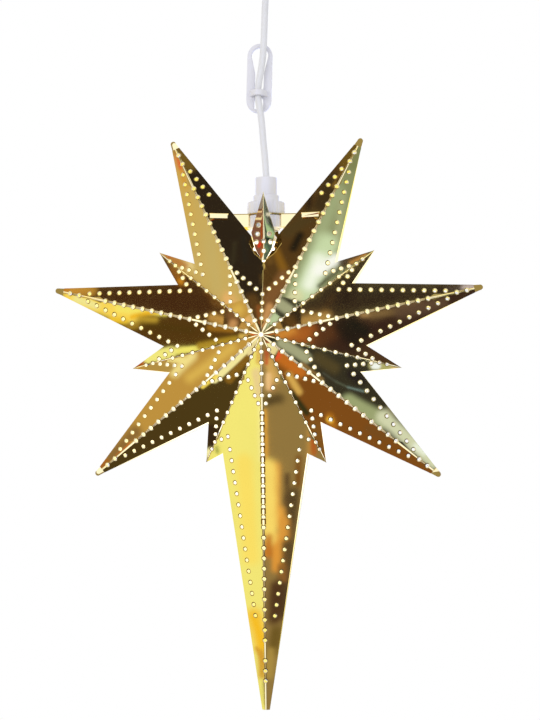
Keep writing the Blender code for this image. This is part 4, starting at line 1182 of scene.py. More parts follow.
@dataclass
class LampBridge:
    """Brass strip that grips the lampholder and carries the star on four bent tabs."""

    shape: StarShape = field(default_factory=StarShape)
    sheet: float = 0.0008
    half_length: float = 0.0575
    half_depth: float = 0.0130
    disc: float = 0.0200
    disc_steps: int = 16
    bore: float = 0.0139
    flange: Point = (0.0168, 0.0360)
    flange_drop: float = 0.0136
    flange_tilt: float = 0.14
    tab_half: float = 0.0088
    flap_drop: float = 0.0046
    flap_lift: float = 0.0009
    flap_rows: tuple[Point, ...] = ((0, 0), (0.5, 1.2), (1, 1))
    ear: float = 0.0030
    ear_start: float = 0.3
    ear_lift: float = 0.0002
    ear_aim: float = 0.3
    flap_turn: float = 0.1
    flap_tilts: Point = (0.04, -0.32)

    def add_face(self, work: bmesh.types.BMesh, corners: list[Vector], aim: Vector) -> None:
        """Adds one flat face that looks along an aim."""
        aims = work.verts.layers.float_vector["aim"]
        verts = [work.verts.new(corner) for corner in corners]
        for vert in verts:
            vert[aims] = aim
        work.faces.new(verts)

    def add_plate(self, work: bmesh.types.BMesh, facet: Facet) -> None:
        """Adds the strip with its disc, its bore and the necks of the tabs."""
        shape = self.shape
        right, left = shape.tab_x + self.tab_half, shape.tab_x - self.tab_half
        reach = [facet.over(x, shape.bridge_top).y + shape.sheet for x in (right, left)]
        joint = asin(self.half_depth / self.disc)
        end, depth = self.half_length, self.half_depth
        quarter = [(end, 0), (end, depth), (right, depth)]
        quarter += [(right, reach[0]), (left, reach[1]), (left, depth)]
        quarter += arc((0, 0), self.disc, joint, pi / 2, self.disc_steps)
        outline = quarter + [(-x, y) for x, y in reversed(quarter[:-1])]
        outline += [(-x, -y) for x, y in quarter[1:]]
        outline += [(x, -y) for x, y in reversed(quarter[1:-1])]
        bore = arc((0, 0), self.bore, 0, 2 * pi, ROUND_SIDES)[:-1]
        points = [Vector(point) for point in outline + bore]
        count = len(outline)
        edges = [(count + k, count + (k + 1) % len(bore)) for k in range(len(bore))]
        made, _, triangles, *_ = delaunay_2d_cdt(points, edges, [list(range(count))], 1, TOUCH)
        low = shape.middle_z + shape.bridge_top - self.sheet
        for triangle in triangles:
            centre = sum((made[k] for k in triangle), Vector((0, 0))) / 3
            if centre.length > self.bore:
                self.add_face(work, [Vector((*made[k], low)) for k in triangle], Vector((0, 0, 1)))

    def build(self) -> bpy.types.Object:
        """Makes the bridge.

        Returns:
            Its piece.
        """
        work = bmesh.new()
        work.verts.layers.float_vector.new("aim")
        work.verts.layers.float.new("punched_and_slit_shade")
        shape = self.shape
        facet = Facet(shape, shape.rays // 2, 1, 1)
        self.add_plate(work, facet)
        right, left = shape.tab_x + self.tab_half, shape.tab_x - self.tab_half
        top = shape.bridge_top - self.sheet / 2
        low = top - self.flap_drop
        stand_off = facet.normal * (shape.sheet + 2 * shape.half_gap)
        rows = []
        for share, lift in self.flap_rows:
            out = stand_off + Vector((0, self.flap_lift * lift, 0))
            rows.append([facet.over(x, top + share * (low - top)) + out for x in (left, right)])
        inner, outer = rows[-1]
        start = outer.lerp(inner, self.ear_start)
        ear = [start, outer, outer + Vector((-self.ear / 3, 0, -self.ear))]
        under = shape.middle_z + shape.bridge_top
        for side in (-1, 1):
            for face in (-1, 1):
                mirror = Matrix.Diagonal((side, face, 1))
                for k, tilt in enumerate(self.flap_tilts):
                    quad = [mirror @ corner for corner in (*rows[k], *reversed(rows[k + 1]))]
                    self.add_face(work, quad, Vector((self.flap_turn, face, tilt)))
                corners = [mirror @ corner + Vector((0, face * self.ear_lift, 0)) for corner in ear]
                aim = Vector((side * self.ear_aim, face, -self.ear_aim)).normalized()
                self.add_face(work, corners, aim)
                y = face * (self.half_depth - self.sheet)
                edge = [(side * x, under) for x in self.flange]
                edge += [(x, under - self.flange_drop) for x, _ in reversed(edge)]
                corners = [Vector((x, y, z)) for x, z in edge]
                self.add_face(work, corners, Vector((0, face, self.flange_tilt)))
        mesh = thickened(work, "lamp_bridge", self.sheet)
        return finished("lamp_bridge", mesh, [BRASS], Body.STAR, Slot.BRASS, "lamp_bridge")


def paint(finish: Finish, *nodes: str) -> None:
    """Gives carried CAD nodes their finish."""
    for node in nodes:
        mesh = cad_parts[node].data
        mesh.materials.clear()
        mesh.materials.append(finish.material())


@dataclass
class Lampholder:
    """Cap, body and two fluted shade rings of the lampholder."""

    hole: float = 0.00375
    cap_wall: float = 0.0015
    top_wall: float = 0.0022
    body_wall: float = 0.0022
    body_hole: float = 0.0080
    body_top_wall: float = 0.0015
    ring_bore: float = 0.0139
    ring_outer: float = 0.01945
    flutes: int = 24
    flute_steps: int = 8
    flute_depth: float = 0.0006
    round: float = 0.0004

    def build(self) -> None:
        """Makes the lampholder's pieces."""
        self.pot("lampholder_cap", self.cap_wall, self.top_wall, self.hole)
        self.pot("lampholder_body", self.body_wall, self.body_top_wall, self.body_hole)
        for name in ("upper_shade_ring", "lower_shade_ring"):
            self.finish(name, self.fluted(*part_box(name)))
        paint(PLASTIC, "cap_cord_grip", "contact_carrier")
        paint(CONTACT_BRASS, "screw_shell", "centre_contact")
        paint(STEEL, "holder_screw_live", "holder_screw_neutral")

    def pot(self, name: str, wall: float, top_wall: float, hole: float) -> None:
        """Makes a round piece that is open below and has a hole in its top."""
        low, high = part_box(name)
        bore, roof = high.x - wall, high.z - top_wall
        self.finish(name, turned([
            (bore, low.z), (high.x, low.z), (high.x, high.z), (hole, high.z), (hole, roof),
            (bore, roof),
        ]))

    def finish(self, name: str, work: bmesh.types.BMesh) -> None:
        """Rounds a piece's edges and puts it in place."""
        mesh = smooth_mesh(work, name, self.round)
        finished(name, mesh, [PLASTIC], Body.STAR, Slot.PLASTIC, name)

    def fluted(self, low: Vector, high: Vector) -> bmesh.types.BMesh:
        """A shade ring with shallow round flutes for the fingers.

        Args:
            low: Lowest corner of the ring's box.
            high: Highest corner of the ring's box.

        Returns:
            The ring's shape.
        """
        steps = self.flutes * self.flute_steps
        work = bmesh.new()
        chamfer = 2 * self.round
        rows = (
            (self.ring_bore, 0, low.z), (self.ring_outer - chamfer, 0, low.z),
            (self.ring_outer, 1, low.z + chamfer), (self.ring_outer, 1, high.z - chamfer),
            (self.ring_outer - chamfer, 0, high.z), (self.ring_bore, 0, high.z),
        )
        loops = []
        for radius, fluted, height in rows:
            loop = []
            for k in range(steps):
                angle = 2 * pi * k / steps
                dip = fluted * self.flute_depth * max(0.0, cos(self.flutes * angle)) ** 2
                reach = radius - dip
                loop.append(work.verts.new((reach * cos(angle), reach * sin(angle), height)))
            loops.append(loop)
        for first, second in zip(loops, loops[1:] + loops[:1]):
            for k in range(steps):
                after = (k + 1) % steps
                work.faces.new((first[k], first[after], second[after], second[k]))
        return work


@dataclass
class Adjuster:
    """Flat rounded plate on the cord: two eyes, and a bridge between them over the cord."""

    half_width: float = 0.0131
    height: float = 0.073
    thick: float = 0.0036
    rim: float = 0.0042
    eye_low: float = 0.0420
    throat: float = 0.0047
    bridge: float = 0.0058
    bridge_low: float = 0.0170
    bow: float = 0.0116
    span: float = 0.0075
    lean: float = radians(1.5)
    over: float = 0.002
    base: tuple[float, float, float] = (-0.0085, 0.0048, -0.1952)
    round: float = 0.0005
    steps: int = 24

    def build(self) -> bpy.types.Object:
        """Makes the adjuster.

        Returns:
            Its piece.
        """
        width, half, throat = self.half_width, self.thick / 2, self.throat
        inner = width - self.rim
        high = self.bridge_low + self.bridge
        steps = self.steps
        plate = arc((0, width), width, pi, 2 * pi, steps)
        plate += arc((0, self.height - width), width, 0, pi, steps)
        upper = arc((0, self.height - self.rim - inner), inner, 0, pi, steps)
        upper += [(-throat, self.eye_low)] + arc((0, high + throat), throat, pi, 2 * pi, steps // 2)
        upper += [(throat, self.eye_low)]
        lower = arc((0, self.bridge_low - throat), throat, 0, pi, steps // 2)
        lower += [(-throat, self.rim), (throat, self.rim)]
        placed = Matrix.Translation(Vector(self.base)) @ Matrix.Rotation(self.lean, 4, "Y")
        upright = placed @ Matrix.Rotation(pi / 2, 4, "X")
        piece = self.solid("adjuster_plate", slab(plate, -half, half), upright)
        tools = [
            self.solid("adjuster_eye", slab(eye, -half - self.over, half + self.over), upright)
            for eye in (upper, lower)
        ]
        turns = [pi * k / steps for k in range(steps + 1)]
        bow = [((self.span + half) * cos(t), -(self.bow + half) * sin(t)) for t in turns]
        bow += [((self.span - half) * cos(t), -(self.bow - half) * sin(t)) for t in reversed(turns)]
        tools.append(self.solid("adjuster_bow", slab(bow, self.bridge_low, high), placed))
        for tool, operation in zip(tools, ("DIFFERENCE", "DIFFERENCE", "UNION")):
            cut = piece.modifiers.new(tool.name, "BOOLEAN")
            cut.operation = operation
            cut.object = tool
        bevel = piece.modifiers.new("rounding", "BEVEL")
        bevel.width = self.round
        bevel.segments = ROUNDING_STEPS
        bevel.limit_method = "ANGLE"
        bevel.angle_limit = SHARP_ANGLE
        depsgraph = bpy.context.evaluated_depsgraph_get()
        mesh = bpy.data.meshes.new_from_object(piece.evaluated_get(depsgraph))
        for used in (piece, *tools):
            bpy.data.objects.remove(used, do_unlink=True)
        mesh.materials.clear()
        mesh.shade_smooth()
        mesh.set_sharp_from_angle(angle=SHARP_ANGLE)
        return finished("cord_adjuster", mesh, [PLASTIC], Body.STAR, Slot.PLASTIC, "cord_adjuster")

    def solid(self, name: str, work: bmesh.types.BMesh, placed: Matrix) -> bpy.types.Object:
        """A placed solid that the adjuster is cut or joined from."""
        bmesh.ops.recalc_face_normals(work, faces=work.faces)
        mesh = mesh_of(work, name)
        mesh.transform(placed)
        return linked(name, mesh)


@dataclass
class HangingCord:
    """The white cord, held taut from the clamp in the rose to the lampholder's cap."""

    radius: float = 0.00345
    star_z: float = -0.430
    top: float = -0.03595
    clamp_bottom: float = -0.04095
    cap_top: float = -0.2642
    end: float = -0.2727
    step: float = 0.0045
    sides: int = 8
    waypoints: tuple = (
        (0.0000, 0.0000, 0.3750), (-0.0006, 0.0000, 0.3600), (-0.0014, -0.0004, 0.3400),
        (-0.0020, -0.0008, 0.3200), (-0.0026, -0.0010, 0.3050), (-0.0037, -0.0010, 0.2900),
        (-0.0055, -0.0010, 0.2780), (-0.0074, -0.0010, 0.2670), (-0.0084, -0.0010, 0.2580),
        (-0.0083, -0.0010, 0.2500), (-0.0074, -0.0010, 0.2430), (-0.0062, -0.0010, 0.2360),
        (-0.0050, -0.0010, 0.2280), (-0.0038, -0.0008, 0.2150), (-0.0026, -0.0005, 0.2000),
        (-0.0013, -0.0002, 0.1870),
    )

    def build(self, adjuster: bpy.types.Object) -> bpy.types.Object:
        """Makes the cord.

        Args:
            adjuster: The adjuster that sits on it. Not used.

        Returns:
            The cord's piece.
        """
        route = [(0, 0, self.top), (0, 0, self.clamp_bottom)]
        route += [(x, y, self.star_z + z) for x, y, z in self.waypoints]
        route += [(0, 0, self.cap_top), (0, 0, self.end)]
        points = smooth_route(route, self.step)[::-1]
        curve = bpy.data.curves.new("cord", "CURVE")
        curve.dimensions = "3D"
        curve.bevel_depth = self.radius
        curve.bevel_resolution = self.sides
        curve.use_fill_caps = True
        spline = curve.splines.new("POLY")
        spline.points.add(len(points) - 1)
        for target, point in zip(spline.points, points):
            target.co = (*point, 1.0)
        spline.use_smooth = True
        curve.materials.append(SHEATH.material())
        made = linked("hanging_cord", curve)
        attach(made, Body.STAR.value)
        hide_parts("cord")
        paint(CORE_SHEATH, "cord_core_live", "cord_core_neutral")
        return made


@dataclass
class CeilingRose:
    """Base plate, sliding cover and terminal block on the ceiling."""

    wall: float = 0.0018
    shoulder: float = 0.014
    lower_radius: float = 0.030
    exit: float = 0.0090
    round: float = 0.0006

    def build(self) -> None:
        """Makes the cover and dresses the rest."""
        low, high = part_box("ceiling_rose_cover")
        outer, wall = high.x, self.wall
        inner = outer - wall
        floor, top = low.z, high.z
        shoulder = floor + self.shoulder
        outside = [
            (outer, top), (outer, shoulder), (outer - wall, shoulder - 2 * wall),
            (self.lower_radius + wall, floor + wall), (self.lower_radius, floor),
            (self.exit, floor),
        ]
        within = [
            (self.exit, floor + wall), (self.lower_radius - wall, floor + 2 * wall),
            (inner - wall, shoulder - wall), (inner, shoulder), (inner, top),
        ]
        mesh = smooth_mesh(turned(outside + within), "rose_cover", self.round)
        name = "ceiling_rose_cover"
        finished(name, mesh, [PLASTIC], Body.COVER, Slot.PLASTIC, name)
        paint(PLASTIC, "ceiling_rose_base", "terminal_block")
        paint(CONTACT_BRASS, "terminal_screw_live", "terminal_screw_neutral")


@dataclass
class Suspension:
    """Hook, ring, clamp and clamp screw."""

    def dress(self) -> None:
        """Gives the suspension its finishes."""
        paint(STEEL, "suspension_hook", "suspension_ring", "clamp_screw")
        paint(PLASTIC, "cord_clamp")


@dataclass
class Lamp:
    """Screw-base lamp with a lit opal globe."""

    globe_wall: float = 0.0012
    neck: float = 0.0131
    radius: float = 0.0215
    steps: int = 28
    sides: int = 64

    def build(self) -> None:
        """Makes the globe and dresses the rest."""
        low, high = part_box("lamp_globe")
        centre = (0.0, low.z + self.radius)
        hollow = self.radius - self.globe_wall
        neck = self.neck + self.globe_wall
        outside = [(neck, high.z)]
        outside += arc(centre, self.radius, acos(neck / self.radius), -pi / 2, self.steps)[:-1]
        outside.append((0.0, centre[1] - self.radius))
        within = [(0.0, centre[1] - hollow)]
        within += arc(centre, hollow, -pi / 2, acos(self.neck / hollow), self.steps)[1:]
        within.append((self.neck, high.z))
        mesh = smooth_mesh(turned(within + outside, self.sides), "lamp_globe")
        finished("lamp_globe", mesh, [OPAL], Body.LAMP, Slot.OPAL, "lamp_globe")
        paint(NICKEL, "lamp_screw_cap", "lamp_contact")
        paint(DARK_GLASS, "lamp_insulator")
        paint(PLASTIC, "lamp_collar")
        paint(BOARD, "light_board")
        paint(CHIP, *(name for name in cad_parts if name.startswith("light_chip")))


@dataclass(frozen=True)
class Card:
    """A soft-edged stroke of light or dark on the screen that one facet mirrors.

    Its start, end, half width and softness are millimetres on the facet.
    """

    start: Point
    end: Point
    half_width: float
    soft: float
    shown: Colour


@dataclass(frozen=True)
class Wall:
    """What one facet mirrors: a plain wall, its cards' rows, and how far out its screen hangs.

    The screen hangs at its reach times the way from the camera's mirror image to the facet, so
    that no other facet's screen is in between.
    """

    ray: int
    side: int
    shown: Colour
    reach: float
    rows: tuple[tuple, ...]


POINT_RAY = 7
POINT_MARKS = ((0, 0), (70, 0), (28, 12.5), (12.5, 8.5), (0, 2.6))
LONGEST_CORNER = 1.3
CURVE_LIFT = 0.055
CURVE_POWER = 2.4
WALLS = (
    Wall(7, -1, (0.5, 0.33, 0.24), 1.12, (
        ((66, 2), (56, 3), 4, 2, (0.58, 0.52, 0.44)),
        ((52, 0), (52, 8), 1, 1.2, (0.42, 0.24, 0.12)),
        ((50, 0), (50, 9), 0.8, 0.8, (0.95, 0.8, 0.56)),
        ((47, 3), (47, 9), 1.8, 1.5, (0.55, 0.4, 0.27)),
        ((43, 1), (43, 10), 1.1, 0.8, (0.99, 0.88, 0.6)),
        ((38, 1), (6, 1), 1.6, 1.5, (0.62, 0.28, 0.08)),
        ((18, 4), (15, 5), 1.6, 1.2, (0.84, 0.24, 0.12)),
        ((10, 1), (5, 1), 2.4, 2, (0.76, 0.44, 0.14)),
    )),
    Wall(7, 1, (0.3, 0.36, 0.28), 1.35, (
        ((66, 2), (50, 6), 1.6, 1.5, (0.07, 0.1, 0.07)),
        ((66, 0), (50, 1.5), 1, 1, (0.42, 0.45, 0.38)),
        ((48, 5), (47, 7), 1.5, 1, (0.93, 0.89, 0.76)),
        ((44, 8), (36, 11), 2.2, 1.5, (0.05, 0.07, 0.05)),
        ((42, 3), (40, 4), 2, 2, (0.58, 0.58, 0.5)),
        ((34, 3), (27, 9), 4, 2.5, (0.67, 0.77, 0.54)),
        ((22, 2), (22, 7), 1.9, 1.5, (0.05, 0.08, 0.06)),
        ((15, 3), (12, 4), 2, 1.5, (0.4, 0.5, 0.36)),
    )),
    Wall(4, 1, (0.8, 0.68, 0.37), 4.5, (
        ((119, 6.8), (63, 23.2), 7, 12, (0.79, 0.69, 0.4)),
        ((194, 4.9), (148, 15.3), 6, 10, (0.82, 0.67, 0.33)),
        ((48, 16.1), (12, 4.7), 6, 9, (0.93, 0.71, 0.42)),
        ((210, 2.5), (198, 3.1), 2.6, 4, (0.89, 0.22, 0.06)),
        ((194, 3.4), (177, 5.3), 2.5, 5, (0.85, 0.57, 0.13)),
        ((220, 1.4), (215, 2.1), 3, 4, (0.59, 0.39, 0.11)),
        ((29, 9.4), (26, 8), 1.6, 2.5, (0.85, 0.2, 0.08)),
        ((106, 38.6), (98, 38.7), 3, 4, (0.96, 0.87, 0.59)),
        ((120, 55.5), (104, 44.3), 4, 5, (0.72, 0.44, 0.18)),
        ((120, 55.5), (117, 54.4), 2.2, 3, (0.77, 0.16, 0.05)),
    )),
    Wall(4, -1, (0.18, 0.14, 0.09), 1.25, (
        ((221, 1.4), (196, 6.3), 7, 9, (0.45, 0.35, 0.14)),
        ((99, 14.7), (81, 4.9), 2.2, 6, (0.22, 0.19, 0.12)),
        ((102, 25), (76, 16.7), 2, 6, (0.17, 0.15, 0.11)),
        ((36, 6.2), (11, 6.1), 6, 10, (0.36, 0.25, 0.11)),
        ((26, 9), (16, 6), 2.5, 4, (0.54, 0.32, 0.14)),
        ((63, 28.7), (39, 19.4), 2, 4, (0.25, 0.18, 0.09)),
    )),
    Wall(3, 1, (0.33, 0.23, 0.1), 1.25, (
        ((221, 3.1), (197, 3.8), 7, 9, (0.42, 0.32, 0.11)),
        ((175, 7.9), (146, 7), 8, 10, (0.25, 0.19, 0.1)),
        ((186, 2), (170, 4), 2, 4, (0.48, 0.36, 0.14)),
        ((150, 22), (136, 16), 3, 7, (0.18, 0.13, 0.08)),
        ((133, 9.8), (107, 24.4), 7, 12, (0.31, 0.24, 0.12)),
        ((108, 10.9), (94, 10.7), 4, 8, (0.13, 0.11, 0.07)),
        ((84, 26), (70, 10), 4, 8, (0.52, 0.36, 0.11)),
        ((85, 39.2), (71, 25.8), 3, 7, (0.42, 0.3, 0.13)),
        ((62, 5.6), (35, 8), 7, 9, (0.5, 0.34, 0.18)),
        ((28, 4.2), (11, 2.2), 4, 6, (0.78, 0.57, 0.34)),
    )),
    Wall(3, -1, (0.55, 0.57, 0.39), 1.7, (
        ((218, 2.1), (198, 3.6), 6, 9, (0.51, 0.52, 0.33)),
        ((167, 0.8), (117, 5.3), 6, 12, (0.64, 0.68, 0.49)),
        ((165, 7.5), (116, 25.6), 4, 8, (0.66, 0.68, 0.5)),
        ((111, 16), (56, 19), 11, 14, (0.8, 0.87, 0.67)),
        ((94, 17.5), (66, 19.5), 6, 12, (0.97, 0.99, 0.9)),
        ((101, 31), (84, 22), 5.5, 8, (1, 1, 0.95)),
        ((50, 13.3), (30, 10), 6, 8, (0.87, 0.86, 0.65)),
        ((34, 7.3), (16, 4), 4, 6, (0.77, 0.83, 0.63)),
        ((95, 39.9), (69, 28.5), 1.8, 4, (0.3, 0.3, 0.2)),
        ((103, 41.6), (127, 59.4), 6, 6, (0.27, 0.2, 0.13)),
        ((105, 46.5), (120, 57.2), 1.4, 2.4, (0.81, 0.57, 0.27)),
    )),
    Wall(2, 1, (0.2, 0.15, 0.1), 4.5, (
        ((20, 5.4), (66, 3.7), 5, 5, (0.72, 0.55, 0.28)),
        ((78, 23.4), (64, 10.5), 1.6, 5, (0.29, 0.2, 0.1)),
        ((96, 28), (82, 9.6), 2, 8, (0.16, 0.12, 0.08)),
        ((106, 23.7), (175, 9.3), 3, 7, (0.23, 0.2, 0.14)),
        ((200, 5), (190, 6), 2, 5, (0.31, 0.26, 0.24)),
        ((208, 4), (221, 1.7), 2.2, 3.5, (0.93, 0.85, 0.81)),
    )),
    Wall(2, -1, (0.22, 0.14, 0.1), 3.2, (
        ((14, 2.7), (45, 8.3), 9, 14, (0.69, 0.38, 0.14)),
        ((54, 15.2), (67, 10), 8, 12, (0.35, 0.21, 0.11)),
        ((80, 8.7), (90, 25.1), 8, 10, (0.14, 0.11, 0.08)),
        ((91, 6.9), (102, 17.5), 6, 9, (0.12, 0.11, 0.08)),
        ((102, 2.2), (128, 4.8), 1.8, 3, (0.81, 0.63, 0.38)),
        ((112, 4.5), (138, 5.5), 2.8, 5, (0.52, 0.41, 0.24)),
        ((140, 0.5), (160, 0.3), 1.5, 2.5, (0.62, 0.47, 0.27)),
        ((18, 3), (32, 2), 3, 5, (0.86, 0.57, 0.22)),
        ((140, 7.3), (182, 6.9), 6, 8, (0.37, 0.28, 0.2)),
        ((98, 37), (120, 55.3), 8, 8, (0.29, 0.19, 0.12)),
    )),
    Wall(1, 1, (0.21, 0.19, 0.13), 1.25, (
        ((21, 6.3), (49, 9.4), 5, 5, (0.66, 0.66, 0.5)),
        ((58, 16.8), (76, 18.9), 6, 9, (0.32, 0.27, 0.15)),
        ((50, 2.5), (74, 2), 2, 3, (0.56, 0.43, 0.23)),
        ((71, 8.1), (86, 9.2), 0.9, 2.2, (0.3, 0.3, 0.24)),
        ((86, 9.2), (99, 12.6), 0.9, 2.2, (0.34, 0.36, 0.28)),
        ((99, 12.6), (114, 19.5), 0.9, 2.2, (0.46, 0.54, 0.49)),
        ((94, 25.5), (104, 25.7), 5, 8, (0.15, 0.12, 0.11)),
        ((146, 20), (150, 20), 4, 6, (0.48, 0.45, 0.31)),
        ((109, 1.5), (148, 8), 8, 8, (0.62, 0.65, 0.45)),
        ((146, 11), (213, 6.5), 7, 9, (0.84, 0.85, 0.69)),
        ((190, 8), (200, 8), 3, 6, (0.94, 0.96, 0.86)),
        ((105, 46), (123, 56.9), 5, 5, (0.7, 0.68, 0.41)),
        ((106, 45.7), (109, 48.3), 3, 3, (0.98, 1, 0.96)),
        ((122, 57.7), (127, 60.1), 3, 3, (0.84, 0.71, 0.45)),
    )),
    Wall(1, -1, (0.5, 0.3, 0.1), 1.18, (
        ((22, 4.5), (52, 3.8), 7, 9, (0.77, 0.43, 0.13)),
        ((16, 3), (23, 6.1), 5, 6, (0.92, 0.33, 0.19)),
        ((46, 14.5), (63, 21.4), 3.5, 6, (0.85, 0.67, 0.32)),
        ((58, 27), (82, 33.7), 3.2, 5, (0.21, 0.2, 0.09)),
        ((141, 7.3), (159, 4.5), 3.5, 7, (0.47, 0.3, 0.12)),
        ((103, 22), (111, 27), 4, 7, (0.68, 0.42, 0.11)),
        ((104, 24.8), (106, 24.3), 2.5, 5, (0.98, 0.75, 0.24)),
        ((99, 40.3), (125, 62.1), 8, 8, (0.51, 0.33, 0.12)),
    )),
    Wall(0, 1, (0.58, 0.47, 0.25), 2, (
        ((25, 7.4), (43, 11.9), 5, 6, (0.85, 0.67, 0.35)),
        ((15, 5.6), (28, 4.9), 1.5, 2.5, (0.81, 0.16, 0.06)),
        ((50, 7), (53, 8.9), 2.2, 3.5, (0.89, 0.24, 0.12)),
        ((67, 6), (64, 15), 5, 8, (0.34, 0.27, 0.14)),
        ((77, 2), (224, 1.5), 1.6, 2.5, (0.93, 0.67, 0.24)),
        ((160, 28), (280, 18), 7, 9, (0.33, 0.26, 0.15)),
        ((131, 10), (172, 10), 5, 7, (0.92, 0.64, 0.25)),
        ((178, 14), (192, 16), 6, 8, (0.94, 0.66, 0.26)),
        ((190, 19), (204, 19), 6, 8, (0.88, 0.61, 0.24)),
        ((206, 12), (236, 12), 5, 7, (0.9, 0.61, 0.23)),
        ((236, 17), (248, 18), 4, 6, (0.57, 0.38, 0.17)),
        ((140, 22), (170, 22), 2.5, 4, (0.37, 0.28, 0.16)),
        ((131, 3), (206, 4), 8, 9, (1, 0.87, 0.42)),
        ((206, 4), (222, 4), 4, 7, (0.77, 0.46, 0.14)),
        ((123, 33), (150, 33), 3, 5, (0.48, 0.3, 0.1)),
        ((40, 6.5), (53, 6.5), 3, 4, (0.96, 0.78, 0.52)),
        ((96, 44.5), (122, 44.5), 3, 4, (0.74, 0.57, 0.27)),
        ((256, 12), (285, 9), 7, 10, (0.31, 0.2, 0.11)),
        ((299, 10.8), (320, 6.7), 5, 8, (0.42, 0.33, 0.12)),
        ((319, 4.7), (346, 3.4), 4, 6, (0.68, 0.56, 0.26)),
        ((100, 47.2), (118, 49), 3, 3.5, (0.72, 0.34, 0.1)),
    )),
    Wall(0, -1, (0.97, 0.92, 0.47), 1.7, (
        ((37, 4.7), (60, 2.9), 4, 7, (0.93, 0.82, 0.57)),
        ((14, 2), (27, 2.4), 2.2, 2.5, (0.88, 0.7, 0.32)),
        ((70, 2.2), (125, 2.6), 1.5, 2.5, (1, 0.96, 0.6)),
        ((128, 20), (225, 14), 9, 12, (1, 0.89, 0.4)),
        ((286, 11), (314, 3.3), 8, 14, (0.98, 0.75, 0.13)),
        ((322, 5), (346, 5), 4, 5, (0.84, 0.63, 0.19)),
        ((318, 9.9), (332, 1.4), 2.2, 4, (0.84, 0.58, 0.14)),
        ((354, 0.6), (375, -1.3), 3, 4, (0.36, 0.24, 0.09)),
        ((113, 49.8), (117, 48.8), 2, 3, (0.51, 0.55, 0.2)),
    )),
    Wall(6, 1, (0.3, 0.23, 0.09), 1.12, (
        ((54, 13), (24, 6.5), 4.5, 4, (0.52, 0.37, 0.11)),
        ((66, 4), (8, 1), 3.6, 2.5, (0.97, 0.92, 0.62)),
        ((20, 6.5), (12, 4), 3, 3, (0.93, 0.86, 0.59)),
        ((80, 1.5), (62, 2.3), 2.2, 2.5, (0.98, 0.86, 0.35)),
        ((102, 40.8), (111, 54.4), 6, 6, (0.22, 0.15, 0.08)),
        ((118, 57.1), (124, 65.5), 5, 5, (1, 0.96, 0.67)),
    )),
    Wall(6, -1, (0.76, 0.58, 0.25), 1.25, (
        ((94, 28.4), (70, 30.2), 5, 10, (0.97, 0.89, 0.55)),
        ((80, 33), (92, 44), 3, 5, (0.97, 0.9, 0.55)),
        ((85, 13.6), (32, 8.9), 5, 12, (0.87, 0.71, 0.32)),
        ((202, 4.2), (166, 7.1), 7, 12, (0.56, 0.42, 0.21)),
        ((196, 0.8), (171, -0.3), 1.4, 2.4, (0.83, 0.42, 0.14)),
        ((220, 2.7), (209, 2.9), 3, 3, (0.65, 0.39, 0.14)),
        ((112, 52), (96, 36.8), 5, 4, (0.71, 0.57, 0.27)),
    )),
    Wall(5, 1, (0.33, 0.22, 0.07), 1.45, (
        ((54, 4), (30, 0.5), 3, 4, (0.6, 0.41, 0.11)),
        ((211, 3.5), (138, 8), 9, 9, (1, 0.86, 0.35)),
        ((153, 3.7), (103, -2.1), 4.5, 4, (0.99, 0.92, 0.41)),
        ((137, 9.7), (112, -0.4), 2, 5, (0.96, 0.71, 0.07)),
        ((204, 4.2), (180, 5.9), 4, 7, (0.96, 0.92, 0.58)),
        ((122, 15.1), (74, 10.6), 3, 8, (0.31, 0.22, 0.06)),
        ((128, 10), (112, 8), 3, 7, (0.74, 0.6, 0.19)),
        ((160, 17), (144, 15), 3, 6, (0.97, 0.79, 0.2)),
        ((140, 21), (130, 17), 3, 6, (0.62, 0.48, 0.15)),
        ((20, 5), (14, 4), 2.5, 3, (0.85, 0.7, 0.33)),
        ((98, 38.1), (48, 22.6), 3.4, 3, (0.99, 0.94, 0.44)),
        ((61, 24.2), (25, 9.6), 3.6, 5, (0.69, 0.55, 0.16)),
        ((9, 4.3), (5, 2.5), 4, 4, (0.85, 0.41, 0.14)),
        ((114, 47.7), (90, 36.3), 6, 3, (0.97, 0.93, 0.5)),
        ((124, 59.2), (118, 54.7), 3.4, 3, (0.69, 0.33, 0.09)),
    )),
    Wall(5, -1, (0.27, 0.16, 0.07), 3.2, (
        ((221, 0.9), (206, 4), 5, 7, (0.8, 0.49, 0.13)),
        ((212, 6), (190, 8), 5, 12, (0.8, 0.58, 0.21)),
        ((68, 28.8), (45, 20.6), 2.4, 5, (0.39, 0.22, 0.06)),
        ((58, 20.1), (35, 16.3), 2.2, 4, (0.42, 0.27, 0.1)),
        ((54, 5), (17, 4.2), 4, 4, (0.8, 0.6, 0.28)),
        ((109, 49.1), (102, 41.6), 4, 5, (0.58, 0.35, 0.11)),
        ((98, 36.9), (96, 35.2), 2.6, 4, (0.91, 0.59, 0.13)),
    )),
)


def light_for(shown: Colour) -> Colour:
    """The light that the brass has to mirror to show a colour of the picture."""
    seen = (((part + CURVE_LIFT) / (1 + CURVE_LIFT)) ** CURVE_POWER for part in shown)
    return tuple(part / tint for part, tint in zip(seen, BRASS.tint))


